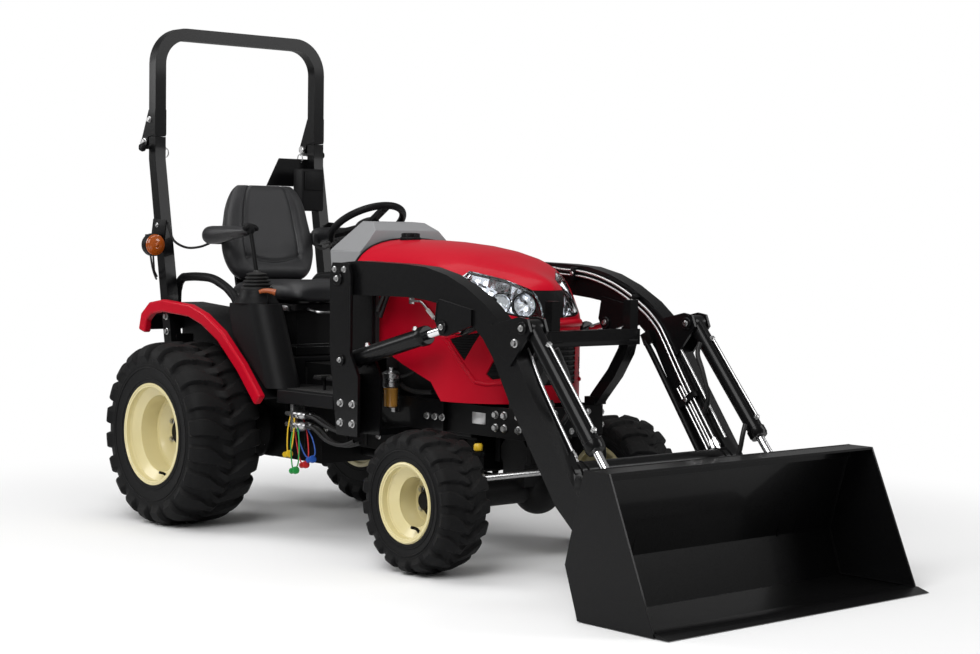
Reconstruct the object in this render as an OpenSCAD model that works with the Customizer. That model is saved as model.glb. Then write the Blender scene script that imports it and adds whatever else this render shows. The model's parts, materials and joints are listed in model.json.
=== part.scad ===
// Compact farm tractor with a front loader, a folding roll bar and a rear three-point hitch.
// Millimetres. X points forward, Y to the driver's left, Z up. Lengths along X are written from
// the rear axle, and stand() moves every node so that the origin is the middle of the footprint.

/* [Wheels] */
// Distance between the rear and front axles
wheelbase = 1450; // [1400:5:1500]
// Outer diameter of a rear tyre at its lug tips
rear_tyre_d = 714; // [700:1:730]
// Section width of a rear tyre
rear_tyre_w = 306; // [296:1:312]
// Distance from the centre plane to the middle of a rear tyre
rear_track_half = 507; // [503:1:520]
// Nominal diameter of a rear rim at its flange
rear_rim_d = 410; // [400:1:416]
// Outer diameter of a front tyre at its lug tips
front_tyre_d = 490; // [480:1:494]
// Section width of a front tyre
front_tyre_w = 206; // [198:1:210]
// Distance from the centre plane to the middle of a front tyre
front_track_half = 456; // [452:1:466]
// Nominal diameter of a front rim at its flange
front_rim_d = 284; // [278:1:290]

/* [Hood] */
// Half of the hood's width
hood_half_w = 285; // [275:1:292]
// Height of the hood's top line at its rear edge
hood_top_z = 1128; // [1120:1:1134]
// Height of the hood's lower edge
hood_low_z = 566; // [562:1:578]
// Thickness of the hood's skin
hood_wall = 8; // [6:0.5:10]
// Distance of the hood's nose ahead of the front axle
hood_overhang = 138; // [130:1:146]

/* [Roll bar] */
// Width of the roll bar over its legs
rops_w = 846; // [836:1:856]
// Height of the roll bar's top
rops_top_z = 1978; // [1950:1:2000]
// Side of the roll bar's square tube
rops_tube = 50; // [46:1:54]
// Outer radius of the roll bar's bends
rops_bend_r = 150; // [130:5:170]

/* [Loader] */
// Distance from the centre plane to the middle of a loader arm
arm_y = 386; // [383:1:390]
// Thickness of a loader arm across the machine
arm_w = 64; // [58:1:66]
// Width of the bucket
bucket_w = 1244; // [1200:2:1260]
// Height of the bucket's top edge
bucket_h = 457; // [450:1:465]
// Thickness of the bucket's plates
bucket_plate = 8; // [6:0.5:10]
// Bore of the lift cylinders' barrels, outside
lift_barrel_d = 62; // [56:1:64]
// Diameter of the lift cylinders' rods
lift_rod_d = 32; // [28:1:36]
// Outside diameter of the bucket cylinders' barrels
curl_barrel_d = 56; // [52:1:60]
// Diameter of the bucket cylinders' rods
curl_rod_d = 28; // [25:1:32]

/* [Hitch] */
// Bore of the lower links' ball ends
link_bore_d = 22.4; // [22.1:0.1:22.6]
// Bore of the top link's bracket
top_bore_d = 19.4; // [19.1:0.1:19.6]
// Outside diameter of the power take-off shaft
pto_d = 34.9; // [34.5:0.1:35.1]
// Bore of the drawbar's pin hole
drawbar_bore_d = 25.4; // [22:0.1:28]

/* [Hidden] */
$fn = 64;
gap = 0.3;
run = 6;
rear_r = rear_tyre_d / 2;
front_r = front_tyre_d / 2;
rear_lug_h = 26;
front_lug_h = 20;
rear_lugs = 20;
front_lugs = 18;

// Frame, engine and guard keep their places from the front axle.
frame_rear_x = wheelbase - 320;
frame_front_x = wheelbase + 190;
engine_front_x = wheelbase - 120;
guard_x = frame_front_x + 118;
hood_nose_x = wheelbase + hood_overhang;

// Loader pivots, as points in the X-Z plane.
boom_pivot = [928, 985];
lift_base = [950, 694];
lift_eye = [1495, 836];
curl_base = [1895, 850];
bucket_pivot = [2205, 212];
curl_eye = [2280, 380];
bucket_lip_x = 2734;

// Three-point hitch pivots, as points in the X-Z plane.
link_pivot = [-140, 280];
link_end = [-690, 330];
link_lift = [-460, 320];
rocker_pivot = [-190, 690];
rocker_end = [-470, 690];
link_eye_r = 30;

rear_x = link_end[0] - link_eye_r;
middle_x = (bucket_lip_x + rear_x) / 2;

// Shared shapes

module stand() { translate([-middle_x, 0, 0]) children(); }

module both_sides() {
  children();
  mirror([0, 1, 0]) children();
}

module block(x, y, z) {
  translate([x[0], y[0], z[0]]) cube([x[1] - x[0], y[1] - y[0], z[1] - z[0]]);
}

// An X-Z outline carried across the machine from y[0] to y[1].
module slab(y) {
  translate([0, y[1], 0]) rotate([90, 0, 0]) linear_extrude(y[1] - y[0]) children();
}

module rod_y(p, r, y) {
  translate([p[0], y[1], p[1]]) rotate([90, 0, 0]) cylinder(r = r, h = y[1] - y[0]);
}

module rod_between(a, b, r) {
  d = b - a;
  translate(a) rotate([0, acos(d[2] / norm(d)), atan2(d[1], d[0])]) cylinder(r = r, h = norm(d));
}

function arc(c, r, a0, a1, n = 12) =
  [for (i = [0 : n]) let (a = a0 + (a1 - a0) * i / n) c + r * [cos(a), sin(a)]];

// Points on both sides of a line, half a width away, as one closed outline.
function normal_at(p, i) =
  let (a = p[max(i - 1, 0)], b = p[min(i + 1, len(p) - 1)], d = (b - a) / norm(b - a)) [-d[1], d[0]];
function band(p, w) = concat(
  [for (i = [0 : len(p) - 1]) p[i] + normal_at(p, i) * w / 2],
  [for (i = [len(p) - 1 : -1 : 0]) p[i] - normal_at(p, i) * w / 2]);

function bezier(a, b, c, d, n = 10) = [for (i = [0 : n]) let (t = i / n, u = 1 - t)
  u * u * u * a + 3 * u * u * t * b + 3 * u * t * t * c + t * t * t * d];
function rest(p) = [for (i = [1 : len(p) - 1]) p[i]];

function toward(a, b, s) = a + (b - a) / norm(b - a) * s;
function angle_of(a, b) = atan2(b[1] - a[1], b[0] - a[0]);

// Engine, drive line and frame

module engine_block() {
  color("dimgray") block([900, engine_front_x], [-150, 150], [430, 880]);
}

module transmission_case() {
  color([0.12, 0.12, 0.13]) {
    slab([-150, 150]) polygon([[900, 640], [900, 400], [840, 340], [440, 340], [440, 250], [-120, 250],
      [-200, 330], [-200, 600], [-150, 640]]);
    slab([-168, 168]) polygon([[-235, 640], [-235, 720], [-145, 720], [-145, 640], [-190, 600]]);
    both_sides() rod_y(link_pivot, 12, [149, 212]);
    both_sides() rod_y(rocker_pivot, 18, [167, 232]);
  }
}

module rear_axle() {
  color([0.12, 0.12, 0.13]) both_sides() translate([0, 150, rear_r]) rotate([-90, 0, 0])
    rotate_extrude() polygon([[0, 0], [120, 0], [120, 20], [78, 70], [66, 250], [100, 256],
      [100, 276], [rear_hub_r - gap, 276], [rear_hub_r - gap, 306], [0, 306]]);
}

module front_frame() {
  color([0.1, 0.1, 0.11]) {
    both_sides() block([frame_rear_x, frame_front_x], [182, 194], [450, 556]);
    both_sides() block([frame_rear_x, engine_front_x - 30], [150, 182], [475, 520]);
    block([frame_front_x - 12, frame_front_x], [-182, 182], [450, 556]);
    for (x = [-95, 70]) block([wheelbase + x, wheelbase + x + 25], [-60, 60], [345, 476]);
    block([wheelbase - 95, wheelbase + 95], [-182, 182], [475, 488]);
  }
}

module front_axle() {
  color([0.1, 0.1, 0.11]) {
    rod_y([wheelbase, front_r], 42, [-kingpin_y, kingpin_y]);
    both_sides() translate([wheelbase, kingpin_y, front_r - 45]) cylinder(r = 34, h = 90);
    translate([wheelbase, 60, front_r]) sphere(r = 88);
    slab([-55, 55]) polygon([[wheelbase - 56, front_r + 20], [wheelbase + 56, front_r + 20],
      [wheelbase + 58, 345], [wheelbase + 70, 362], [wheelbase + 70, 400], [wheelbase + 40, 440],
      [wheelbase - 40, 440], [wheelbase - 70, 400], [wheelbase - 70, 362], [wheelbase - 58, 345]]);
  }
}

module driveshaft() {
  color([0.15, 0.15, 0.16]) rod_between([442, 60, 296], [wheelbase - 89, 60, front_r], 24);
}

// Steering and wheels

kingpin_y = 338;
arm_reach = 130;
tie_z = 322;

module knuckle() {
  color([0.1, 0.1, 0.11]) {
    for (z = [front_r - 76, front_r + 45.4]) {
      translate([wheelbase, kingpin_y, z]) cylinder(r = 38, h = 30.6);
      block([wheelbase - 30, wheelbase + 30], [kingpin_y, kingpin_y + 56], [z, z + 30.6]);
    }
    block([wheelbase - 30, wheelbase + 30], [kingpin_y + 40, kingpin_y + 56], [front_r - 76, front_r + 76]);
    rod_y([wheelbase, front_r], 56, [kingpin_y + 50, 410]);
    rod_y([wheelbase, front_r], front_hub_r - gap, [400, 446]);
    block([wheelbase, wheelbase + arm_reach], [kingpin_y - 24, kingpin_y - 2], [tie_z - 32, tie_z - 12]);
    translate([wheelbase + arm_reach, kingpin_y - 13, tie_z - 32]) cylinder(r = 20, h = 20);
  }
}

module knuckle_left() { knuckle(); }
module knuckle_right() { mirror([0, 1, 0]) knuckle(); }

module tie_rod() {
  color("gainsboro") {
    y = kingpin_y - 13;
    rod_y([wheelbase + arm_reach, tie_z + 4], 11, [-y, y]);
    both_sides() translate([wheelbase + arm_reach, y, tie_z - 12 + gap]) cylinder(r = 16, h = 30);
  }
}

// Tyre section as radius and distance from the tyre's middle, up to the roots of its lugs.
function tyre_section(r, w, rim_r, lug_h) = let (h = w / 2, side = r - rim_r, root = r - lug_h) [
  [rim_r, -h + 27], [rim_r + 13, -h + 18], [rim_r + side * 0.4, -h + 5], [root - 40, -h + 9],
  [root - 12, -h + 26], [root, -h + 62], [root, h - 62], [root - 12, h - 26], [root - 40, h - 9],
  [rim_r + side * 0.4, h - 5], [rim_r + 13, h - 18], [rim_r, h - 27]];

// One tread bar, from just past the tyre's middle to its shoulder.
module lug(r, w, depth, pitch) {
  h = w / 2;
  c = pitch * 0.22;
  top = sqrt(r * r - 4 * c * c);
  translate([top - depth, 0, 0]) rotate([90, 0, 90]) linear_extrude(depth)
    polygon([[c, -h * 0.1], [2 * c, h * 0.02], [c * 1.2, h * 0.45], [0.2 * c, h * 0.72], [0.2 * c, h],
      [-1.8 * c, h], [-1.8 * c, h * 0.66], [-0.6 * c, h * 0.36]]);
}

module tyre(x, y, r, w, rim_r, lug_h, lugs) {
  pitch = 2 * PI * r / lugs;
  color([0.07, 0.07, 0.07]) translate([x, y, r]) rotate([-90, 0, 0]) {
    rotate_extrude() polygon(tyre_section(r, w, rim_r, lug_h));
    for (i = [0 : lugs - 1]) {
      rotate([0, 0, 360 * i / lugs]) lug(r, w, 2 * lug_h, pitch);
      rotate([0, 0, 360 * (i + 0.5) / lugs]) mirror([0, 0, 1]) lug(r, w, 2 * lug_h, pitch);
    }
  }
}

// Rim with a flat disc. seat_r is the bead seat that the tyre's bore stands on.
module rim(x, y, r, w, seat_r, disc, hub_r) {
  h = w / 2;
  color([0.86, 0.8, 0.6]) translate([x, y, r]) rotate([-90, 0, 0]) rotate_extrude() polygon([
    [seat_r + 12, -h + 12], [seat_r + 12, -h + 16], [seat_r - gap, -h + 26], [seat_r - gap, -h + 40],
    [seat_r - 34, -h + 66], [seat_r - 34, h - 66], [seat_r - gap, h - 40], [seat_r - gap, h - 26],
    [seat_r + 12, h - 16], [seat_r + 12, h - 12], [seat_r - 8, h - 12], [seat_r - 8, h - 36],
    [seat_r - 42, h - 58], [seat_r - 42, disc + 6], [hub_r, disc + 6], [hub_r, disc - 6], [seat_r - 42, disc - 6],
    [seat_r - 42, -h + 58], [seat_r - 8, -h + 36], [seat_r - 8, -h + 12]]);
}

rear_seat_r = rear_rim_d / 2 - 14;
front_seat_r = front_rim_d / 2 - 12;
rear_disc = -64;
rear_hub_r = 60;
front_hub_r = 40;
front_disc = -36;

module rear_tyre_left() { tyre(0, rear_track_half, rear_r, rear_tyre_w, rear_seat_r, rear_lug_h, rear_lugs); }
module rear_tyre_right() { mirror([0, 1, 0]) rear_tyre_left(); }
module rear_rim_left() {
  rim(0, rear_track_half, rear_r, rear_tyre_w, rear_seat_r, rear_disc, rear_hub_r);
}
module rear_rim_right() { mirror([0, 1, 0]) rear_rim_left(); }
module front_tyre_left() {
  tyre(wheelbase, front_track_half, front_r, front_tyre_w, front_seat_r, front_lug_h, front_lugs);
}
module front_tyre_right() { mirror([0, 1, 0]) front_tyre_left(); }
module front_rim_left() {
  rim(wheelbase, front_track_half, front_r, front_tyre_w, front_seat_r, front_disc, front_hub_r);
}
module front_rim_right() { mirror([0, 1, 0]) front_rim_left(); }

// Hood

hood_rear_x = 800;
hood_hinge = [hood_rear_x + 12, hood_top_z - 24];
hood_nose_len = 287;
arch_steps = 10;
nose_steps = 14;

function hood_x(share) = hood_rear_x + share * (hood_nose_x - hood_rear_x);

function smooth(t) = let (u = min(1, max(0, t))) u * u * (3 - 2 * u);

// A section of the skin: up from its foot to side_z, then rounded over to the spine, more or less full.
function hood_section(foot, top, side_z, full) = let (arch = [for (i = [0 : arch_steps - 1])
    let (a = 90 * i / arch_steps, across = pow(cos(a), 2 / full), up = pow(sin(a), 2 / full))
    [top[0] + (foot[0] - top[0]) * across, foot[1] * across, side_z + (top[1] - side_z) * up]])
  concat([[foot[0], -foot[1], 200]], [for (p = arch) [p[0], -p[1], p[2]]], [[top[0], 0, top[1]]],
    [for (i = [arch_steps - 1 : -1 : 0]) arch[i]], [[foot[0], foot[1], 200]]);

// Sections from the rear edge to the nose. They lean in from lower down and get less full toward the nose.
function hood_sections(inset) = let (w = hood_half_w - inset, t = hood_top_z - inset, n = hood_nose_x - inset,
    k = n - hood_nose_len, side_z = t - 170,
    rear = bezier([hood_rear_x, t], [hood_rear_x + 200, t], [k - 101, t - 11], [k, t - 45], 5),
    spine = bezier([k, t - 45], [n - 143, t - 106], [n - 10, t - 121], [n, t - 178], nose_steps),
    plan = bezier([k, w], [n - 137, w], [n - 6, w - 99], [n, 0], nose_steps))
  concat([hood_section([hood_rear_x - 60, w], [hood_rear_x - 60, t], side_z, 2.5)],
    [for (p = rear) hood_section([p[0], w], p, side_z, 2.5)],
    [for (i = [1 : nose_steps - 1]) let (share = i / nose_steps) hood_section(plan[i], spine[i],
      side_z - 104 * smooth(share / 0.45), 2.5 - 0.95 * smooth(share / 0.55))]);

module hood_dome(inset) {
  rows = hood_sections(inset);
  m = len(rows[0]);
  mid = (m - 1) / 2;
  last = (len(rows) - 1) * m;
  sides = [for (r = [0 : len(rows) - 2], c = [0 : m - 1]) let (a = r * m + c, b = r * m + (c + 1) % m)
    each [[a, b, b + m], [a, b + m, a + m]]];
  front = [for (c = [0 : mid - 2]) let (a = last + c, b = last + m - 1 - c) each [[a, a + 1, b - 1], [a, b - 1, b]]];
  polyhedron([for (row = rows) each row], concat(sides, front, [[last + mid - 1, last + mid, last + mid + 1]],
    [[for (c = [m - 1 : -1 : 0]) c]]));
}

// Lower edge of the skin, cut up for the engine and the loader's lift cylinders.
module hood_side_outline() {
  polygon([[hood_rear_x, hood_top_z + 100], [hood_nose_x + 60, hood_top_z + 100], [hood_nose_x + 60, hood_low_z],
    [hood_x(0.659), hood_low_z], [hood_x(0.588), hood_low_z + 64], [hood_x(0.39), hood_low_z + 116],
    [hood_x(0.2145), hood_low_z + 172], [hood_x(0.2107), 932], [hood_rear_x, 940]]);
}

module hood_shell(inset, wall) {
  difference() {
    intersection() {
      slab([-400, 400]) hood_side_outline();
      hood_dome(inset);
    }
    hood_dome(inset + wall);
  }
}

// Windows in the skin, seen from the front.
module from_front(depth, grow) {
  translate([hood_nose_x - depth, 0, 0]) rotate([90, 0, 90]) linear_extrude(depth + 100) offset(delta = grow)
    children();
}

module lamp_windows(grow) {
  both_sides() from_front(235, grow) polygon([[71, 958], [57, 920], [44, 862], [126, 864], [183, 878],
    [212, 938], [250, 997], [205, 1022], [118, 994]]);
}

module side_windows(grow) {
  n = hood_nose_x;
  both_sides() slab([150, 400]) offset(delta = grow) {
    polygon([[n - 231, 786], [n - 115, 815], [n - 171, 712]]);
    polygon([[n - 81, 725], [n - 103, 668], [n - 87, 650], [n - 56, 656], [n - 54, 718]]);
  }
}

module front_window(grow) {
  from_front(120, grow) polygon([[-130, 628], [130, 628], [136, 818], [-136, 818]]);
}

module badge_window(grow) {
  from_front(120, grow) polygon([[-44, 862], [44, 862], [57, 920], [71, 958], [-71, 958],
    [-57, 920]]);
}

module hood() {
  color("crimson") {
    difference() {
      hood_shell(0, hood_wall);
      lamp_windows(0);
      side_windows(0);
      front_window(0);
      badge_window(0);
    }
    both_sides() block([hood_hinge[0] - 7, hood_hinge[0] + 7], [40.4, 70],
      [hood_hinge[1], hood_top_z - hood_wall + 2]);
    both_sides() rod_y(hood_hinge, 6, [40.4, 70]);
  }
}

module headlamps() {
  color([0.85, 0.88, 0.9]) intersection() {
    hood_shell(0, hood_wall);
    lamp_windows(-gap);
  }
}

module hood_grilles() {
  color([0.1, 0.1, 0.1]) intersection() {
    hood_shell(3, hood_wall - 3);
    union() {
      side_windows(-gap);
      front_window(-gap);
    }
  }
}

module nose_panel() {
  color([0.08, 0.08, 0.08]) intersection() {
    hood_shell(1, hood_wall - 1);
    badge_window(-gap);
  }
}

// Driver's place

module dash_cowl() {
  back = hood_rear_x - 22;
  color([0.35, 0.35, 0.37]) {
    difference() {
      intersection() {
        slab([-300, 300]) polygon([[640, 640.3], [back, 640.3], [back, 1120], [770, 1160], [720, 1190],
          [650, 1194], [590, 1090], [610, 940]]);
        rotate([90, 0, 90]) linear_extrude(1000) polygon([[-230, 630], [230, 630], [230, 1080], [120, 1196],
          [-120, 1196], [-230, 1080]]);
      }
      column(gap);
    }
    block([back - 6, hood_hinge[0] + 6], [-40, 40], [hood_hinge[1] - 120, hood_hinge[1] - 104]);
    block([hood_hinge[0] - 6, hood_hinge[0] + 6], [-40, 40], [hood_hinge[1] - 110, hood_hinge[1]]);
    rod_y(hood_hinge, 6, [-40, 40]);
  }
}

wheel_centre = [520, 0, 1178];
wheel_tilt = -32;
wheel_rim_r = 146;

module column(grow) {
  translate(wheel_centre) rotate([0, wheel_tilt, 0]) translate([0, 0, -160 - grow])
    cylinder(r = 30 + grow, h = 160 - 23 - gap + grow);
}

module steering_column() { color([0.1, 0.1, 0.1]) column(0); }

module steering_wheel() {
  color([0.06, 0.06, 0.06]) translate(wheel_centre) rotate([0, wheel_tilt, 0]) {
    rotate_extrude() translate([wheel_rim_r, 0]) circle(r = 14);
    translate([0, 0, -23]) cylinder(r = 46, h = 30);
    for (a = [0, 120, 240]) rotate([0, 0, a]) block([40, wheel_rim_r - 8], [-16, 16], [-9, 7]);
  }
}

module platform() {
  color([0.14, 0.14, 0.14]) both_sides() {
    block([490, 845], [150.3, 400], [540, 556]);
    block([330.3, 490], [150.3, 249], [540, 556]);
    block([490, 845], [388, 400], [505, 540]);
    block([833, 845], [150.3, 325], [556, 700]);
  }
}

module pedals() {
  color([0.1, 0.1, 0.1]) {
    for (x = [640, 720]) {
      block([x, x + 50], [-340, -270], [600, 612]);
      block([x + 20, x + 30], [-310, -300], [556, 600]);
    }
    block([690, 750], [260, 330], [620, 632]);
    block([715, 725], [290, 300], [556, 620]);
  }
}

arch = [[-395, 735], [-380, 795], [-330, 832], [-240, 845], [-40, 832], [60, 803], [180, 742], [320, 630],
  [440, 510]];

module fenders() {
  color("crimson") both_sides() slab([rops_w / 2 + 1, rops_w / 2 + 34]) polygon(band(arch, 50));
}

module fender_covers() {
  line = [for (p = arch) p + [6, 8]];
  color([0.12, 0.12, 0.12]) both_sides() {
    difference() {
      union() {
        slab([262, rops_w / 2 + 1 - gap]) polygon(band(line, 12));
        slab([250, 264]) polygon(concat(line, [[330, 518], [250, 640], [-388, 640]]));
      }
      slab([rops_y - rops_tube / 2 - gap, 500]) offset(delta = gap) post_outline();
    }
    grab_rail();
  }
}

module grab_rail() {
  slab([330, 354]) polygon(band(concat([[-305, 850], [-300, 905]], arc([-240, 905], 55, 170, 90, 5),
    [[-150, 964], [-40, 958], [60, 925], [118, 888], [148, 836], [158, 758]]), 24));
}

lever_y = -348;
console_half = 73;
console_lean = 22;
console_r = 69;

// Console leans back from the platform. Its front is rounded, and a bell carries the lever's boot.
module loader_console() {
  r = console_r;
  side = console_half - r;
  color([0.1, 0.1, 0.1]) {
    intersection() {
      slab([lever_y - console_half, lever_y + console_half]) polygon([[230, 745], [196, 836], [200, 872], [392, 872],
        [430, 780], [490, 657], [520, 556.3], [450, 556.3], [330, 650]]);
      translate([520, lever_y, 556]) rotate([0, -console_lean, 0]) translate([0, 0, -200]) linear_extrude(700) {
        translate([-400, -console_half]) square([400 - r, console_half * 2]);
        translate([-r - 1, -side]) square([r + 1, side * 2]);
        for (y = [-side, side]) translate([-r, y]) circle(r = r);
      }
    }
    translate([lever_x, lever_y, 871]) cylinder(r1 = console_half - 1, r2 = 60, h = 55);
  }
}

lever_x = 278;

module joystick() {
  color([0.07, 0.07, 0.07]) {
    translate([lever_x, lever_y, 926.3]) cylinder(r1 = 56, r2 = 44, h = 60);
    rod_between([lever_x, lever_y, 980], [lever_x - 40, lever_y, 1150], 9);
    translate([lever_x - 42, lever_y, 1160]) sphere(r = 24);
  }
}

module seat_deck() {
  color([0.12, 0.12, 0.12]) {
    block([-140, 330], [-249.7, 249.7], [640.3, 660]);
    both_sides() block([314, 330], [150.3, 249.7], [530, 642]);
  }
}

module seat_base() {
  color([0.1, 0.1, 0.1]) {
    block([-120, 280], [-160, 160], [660.3, 700]);
    block([-80, 240], [-130, 130], [700, 836]);
    block([-160, 290], [-170, 170], [836, 868]);
    slab([-150, 150]) polygon([[-126, 868], [-160, 868], [-240, 1250], [-226, 1254], [-150, 890], [-126, 880]]);
  }
}

module seat_cushion() {
  color([0.13, 0.13, 0.14]) slab([-225, 225]) polygon([[-118, 868.3], [330, 868.3], [352, 890], [348, 940],
    [310, 958], [-90, 945], [-120, 925]]);
}

module seat_back() {
  color([0.13, 0.13, 0.14]) slab([-222, 222]) polygon([[-162.5, 955], [-70, 950], [-95, 1080], [-130, 1300],
    [-165, 1340], [-208, 1328], [-225, 1254]]);
}

module armrests() {
  color([0.1, 0.1, 0.1]) both_sides() {
    block([-205, 105], [246, 296], [1128, 1165]);
    block([-190, -140], [222.3, 246], [1095, 1160]);
  }
}

// Roll bar

rops_y = rops_w / 2 - rops_tube / 2;
rops_x = -372;
rops_hinge = [-428, 1508];
rops_joint_z = 1530;

module post_outline() {
  polygon([[-215, 690], [-270, 690], [-305, 900], [rops_x - 25, 1440], [rops_x - 25, rops_joint_z],
    [rops_x + 25, rops_joint_z], [rops_x + 25, 1440], [-250, 900]]);
}

module rops_posts() {
  color([0.06, 0.06, 0.06]) both_sides() difference() {
    union() {
      slab([rops_y - rops_tube / 2, rops_y + rops_tube / 2]) post_outline();
      slab([rops_y - 12, rops_y + 12]) polygon([[rops_x - 20, 1470], [-440, 1486], [-452, 1508],
        [-440, 1530], [rops_x - 20, 1530]]);
      block([-268, -217], [318, rops_y], [690, 730]);
      slab([318, 343]) polygon([[-268, 700], [-217, 700], [70, rear_r + 72], [-70, rear_r + 72]]);
    }
    rod_y(rops_hinge, 10, [rops_y - 40, rops_y + 40]);
  }
}

module rops_hoop() {
  h = rops_tube / 2;
  color([0.06, 0.06, 0.06]) {
    translate([rops_x, 0, 0]) rotate([90, 0, 90]) translate([0, 0, -h]) linear_extrude(rops_tube)
      difference() {
        hoop_outline(rops_w / 2, rops_top_z, rops_bend_r);
        translate([0, -1]) hoop_outline(rops_w / 2 - rops_tube, rops_top_z - rops_tube + 1,
          rops_bend_r - rops_tube);
      }
    both_sides() for (y = [rops_y - 27, rops_y + 15])
      slab([y, y + 12]) polygon(concat([[rops_x + 25, 1540], [rops_x + 25, 1640], [rops_x - 25, 1640]],
        arc(rops_hinge, 26, 150, 280, 8), [[rops_x - 29, 1530]]));
    both_sides() rod_y(rops_hinge, 9.95, [rops_y - 27, rops_y + 27]);
  }
}

module hoop_outline(w, top, r) {
  polygon(concat([[w, rops_joint_z + 2]], arc([w - r, top - r], r, 0, 90, 12),
    arc([-w + r, top - r], r, 90, 180, 12), [[-w, rops_joint_z + 2]]));
}

module turn_lamps() {
  color("darkorange") both_sides() {
    rod_between([-285, 470, 1090], [-235, 470, 1090], 40);
    block([-300, -284], [rops_y + 25, 500], [1060, 1130]);
  }
}

module sign_plate() {
  color([0.08, 0.08, 0.08]) rotate([90, 0, 90]) translate([0, 0, rops_x - 25 - gap - 4]) linear_extrude(4)
    polygon([[160, 1346], [224, 1466], [395, 1466], [395, 1444], [372, 1400], [372, 1346]]);
}

// Loader

module loader_towers() {
  color([0.06, 0.06, 0.06]) both_sides() {
    for (y = [arm_y - 56, arm_y + 44]) slab([y, y + 12]) polygon([[877, 1000], [892, 1042], [980, 1042],
      [1000, 1000], [1000, 720], [1048, 640], [1048, 425], [925, 425], [880, 720]]);
    block([925, 937], [arm_y - 45, arm_y + 45], [425, 640]);
    block([870, 1048], [150.3, arm_y - 44], [425, 449.7]);
    block([870, frame_rear_x + 120], [194.3, 214], [449, 560]);
    rod_y(boom_pivot, 20, [arm_y - 45, arm_y + 45]);
    rod_y(lift_base, 14, [arm_y - 45, arm_y + 45]);
  }
}

// Outline of an arm, along its top from the pivot over the knee, and back along its underside.
arm_top = [[935, 1044], [1017, 1050], [1272, 1044], [1390, 1036], [1500, 1012], [1600, 974], [1703, 918],
  [1768, 868], [1815, 812], [1914, 662], [2135, 358]];
arm_under = [[2050, 292], [1829, 598], [1738, 750], [1690, 806], [1640, 845], [1590, 876], [1503, 908],
  [1400, 922], [1312, 930], [935, 928]];

module loader_boom() {
  half = arm_w / 2;
  color([0.06, 0.06, 0.06]) {
    both_sides() difference() {
      union() {
        slab([arm_y - half, arm_y + half]) polygon(concat(arm_top, [bucket_pivot + [32, 24]],
          [bucket_pivot - [32, 24]], arm_under));
        rod_y(boom_pivot, 58, [arm_y - half, arm_y + half]);
        rod_y(bucket_pivot, 40, [arm_y - half, arm_y + half]);
        for (y = [arm_y - half - 9, arm_y + half - 1]) slab([y, y + 10]) polygon([[1470, 930], [1455, 850],
          [1480, 806], [1515, 806], [1640, 846], [1640, 900]]);
        for (y = [arm_y - half - 9, arm_y + half - 1]) slab([y, y + 10]) polygon([[1730, 852], [1875, 886],
          [1915, 880], [1931, 840], [1837, 724], [1758, 778]]);
        rod_y(curl_base, 14, [arm_y - half - 5, arm_y + half + 5]);
      }
      rod_y(boom_pivot, 20.05, [arm_y - 60, arm_y + 60]);
      rod_y(bucket_pivot, 16.05, [arm_y - 60, arm_y + 60]);
    }
    rod_y([2065, 385], 45, [-arm_y, arm_y]);
  }
}

// A cylinder's barrel with its eye, along the line from its base pin. Its rod slides in through the open front.
module barrel(base, eye, d, length, bore, rod_d, floor_at) {
  end = toward(base, eye, length);
  inner = toward(base, eye, floor_at);
  mouth = toward(base, eye, length + 5);
  difference() {
    union() {
      rod_between([base[0], 0, base[1]], [end[0], 0, end[1]], d / 2);
      rod_y(base, d / 2, [-24, 24]);
    }
    rod_y(base, bore, [-60, 60]);
    rod_between([inner[0], 0, inner[1]], [mouth[0], 0, mouth[1]], rod_d / 2 + slide_gap);
  }
}

module piston_rod(base, eye, d, start) {
  a = toward(base, eye, start);
  rod_between([a[0], 0, a[1]], [eye[0], 0, eye[1]], d / 2);
  rod_y(eye, d * 0.85, [-24, 24]);
}

lift_barrel_len = 430;
curl_barrel_len = 480;
slide_gap = 0.4;

// Where each barrel's inside ends and where its rod starts at rest, from the base pin.
lift_floor = 92;
lift_rod_start = 120;
curl_floor = 52;
curl_rod_start = 150;

module lift_barrels() {
  color([0.07, 0.07, 0.07]) both_sides() translate([0, arm_y, 0])
    barrel(lift_base, lift_eye, lift_barrel_d, lift_barrel_len, 14.05, lift_rod_d, lift_floor);
}

module lift_rods() {
  color("gainsboro") both_sides() translate([0, arm_y, 0])
    piston_rod(lift_base, lift_eye, lift_rod_d, lift_rod_start);
}

module curl_barrels() {
  color([0.07, 0.07, 0.07]) both_sides() translate([0, arm_y, 0])
    barrel(curl_base, curl_eye, curl_barrel_d, curl_barrel_len, 14.05, curl_rod_d, curl_floor);
}

module curl_rods() {
  color("gainsboro") both_sides() translate([0, arm_y, 0])
    piston_rod(curl_base, curl_eye, curl_rod_d, curl_rod_start);
}

bucket_back = [[2396, bucket_h], [2311, 165], [2368, 3], [bucket_lip_x, 3]];

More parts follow.
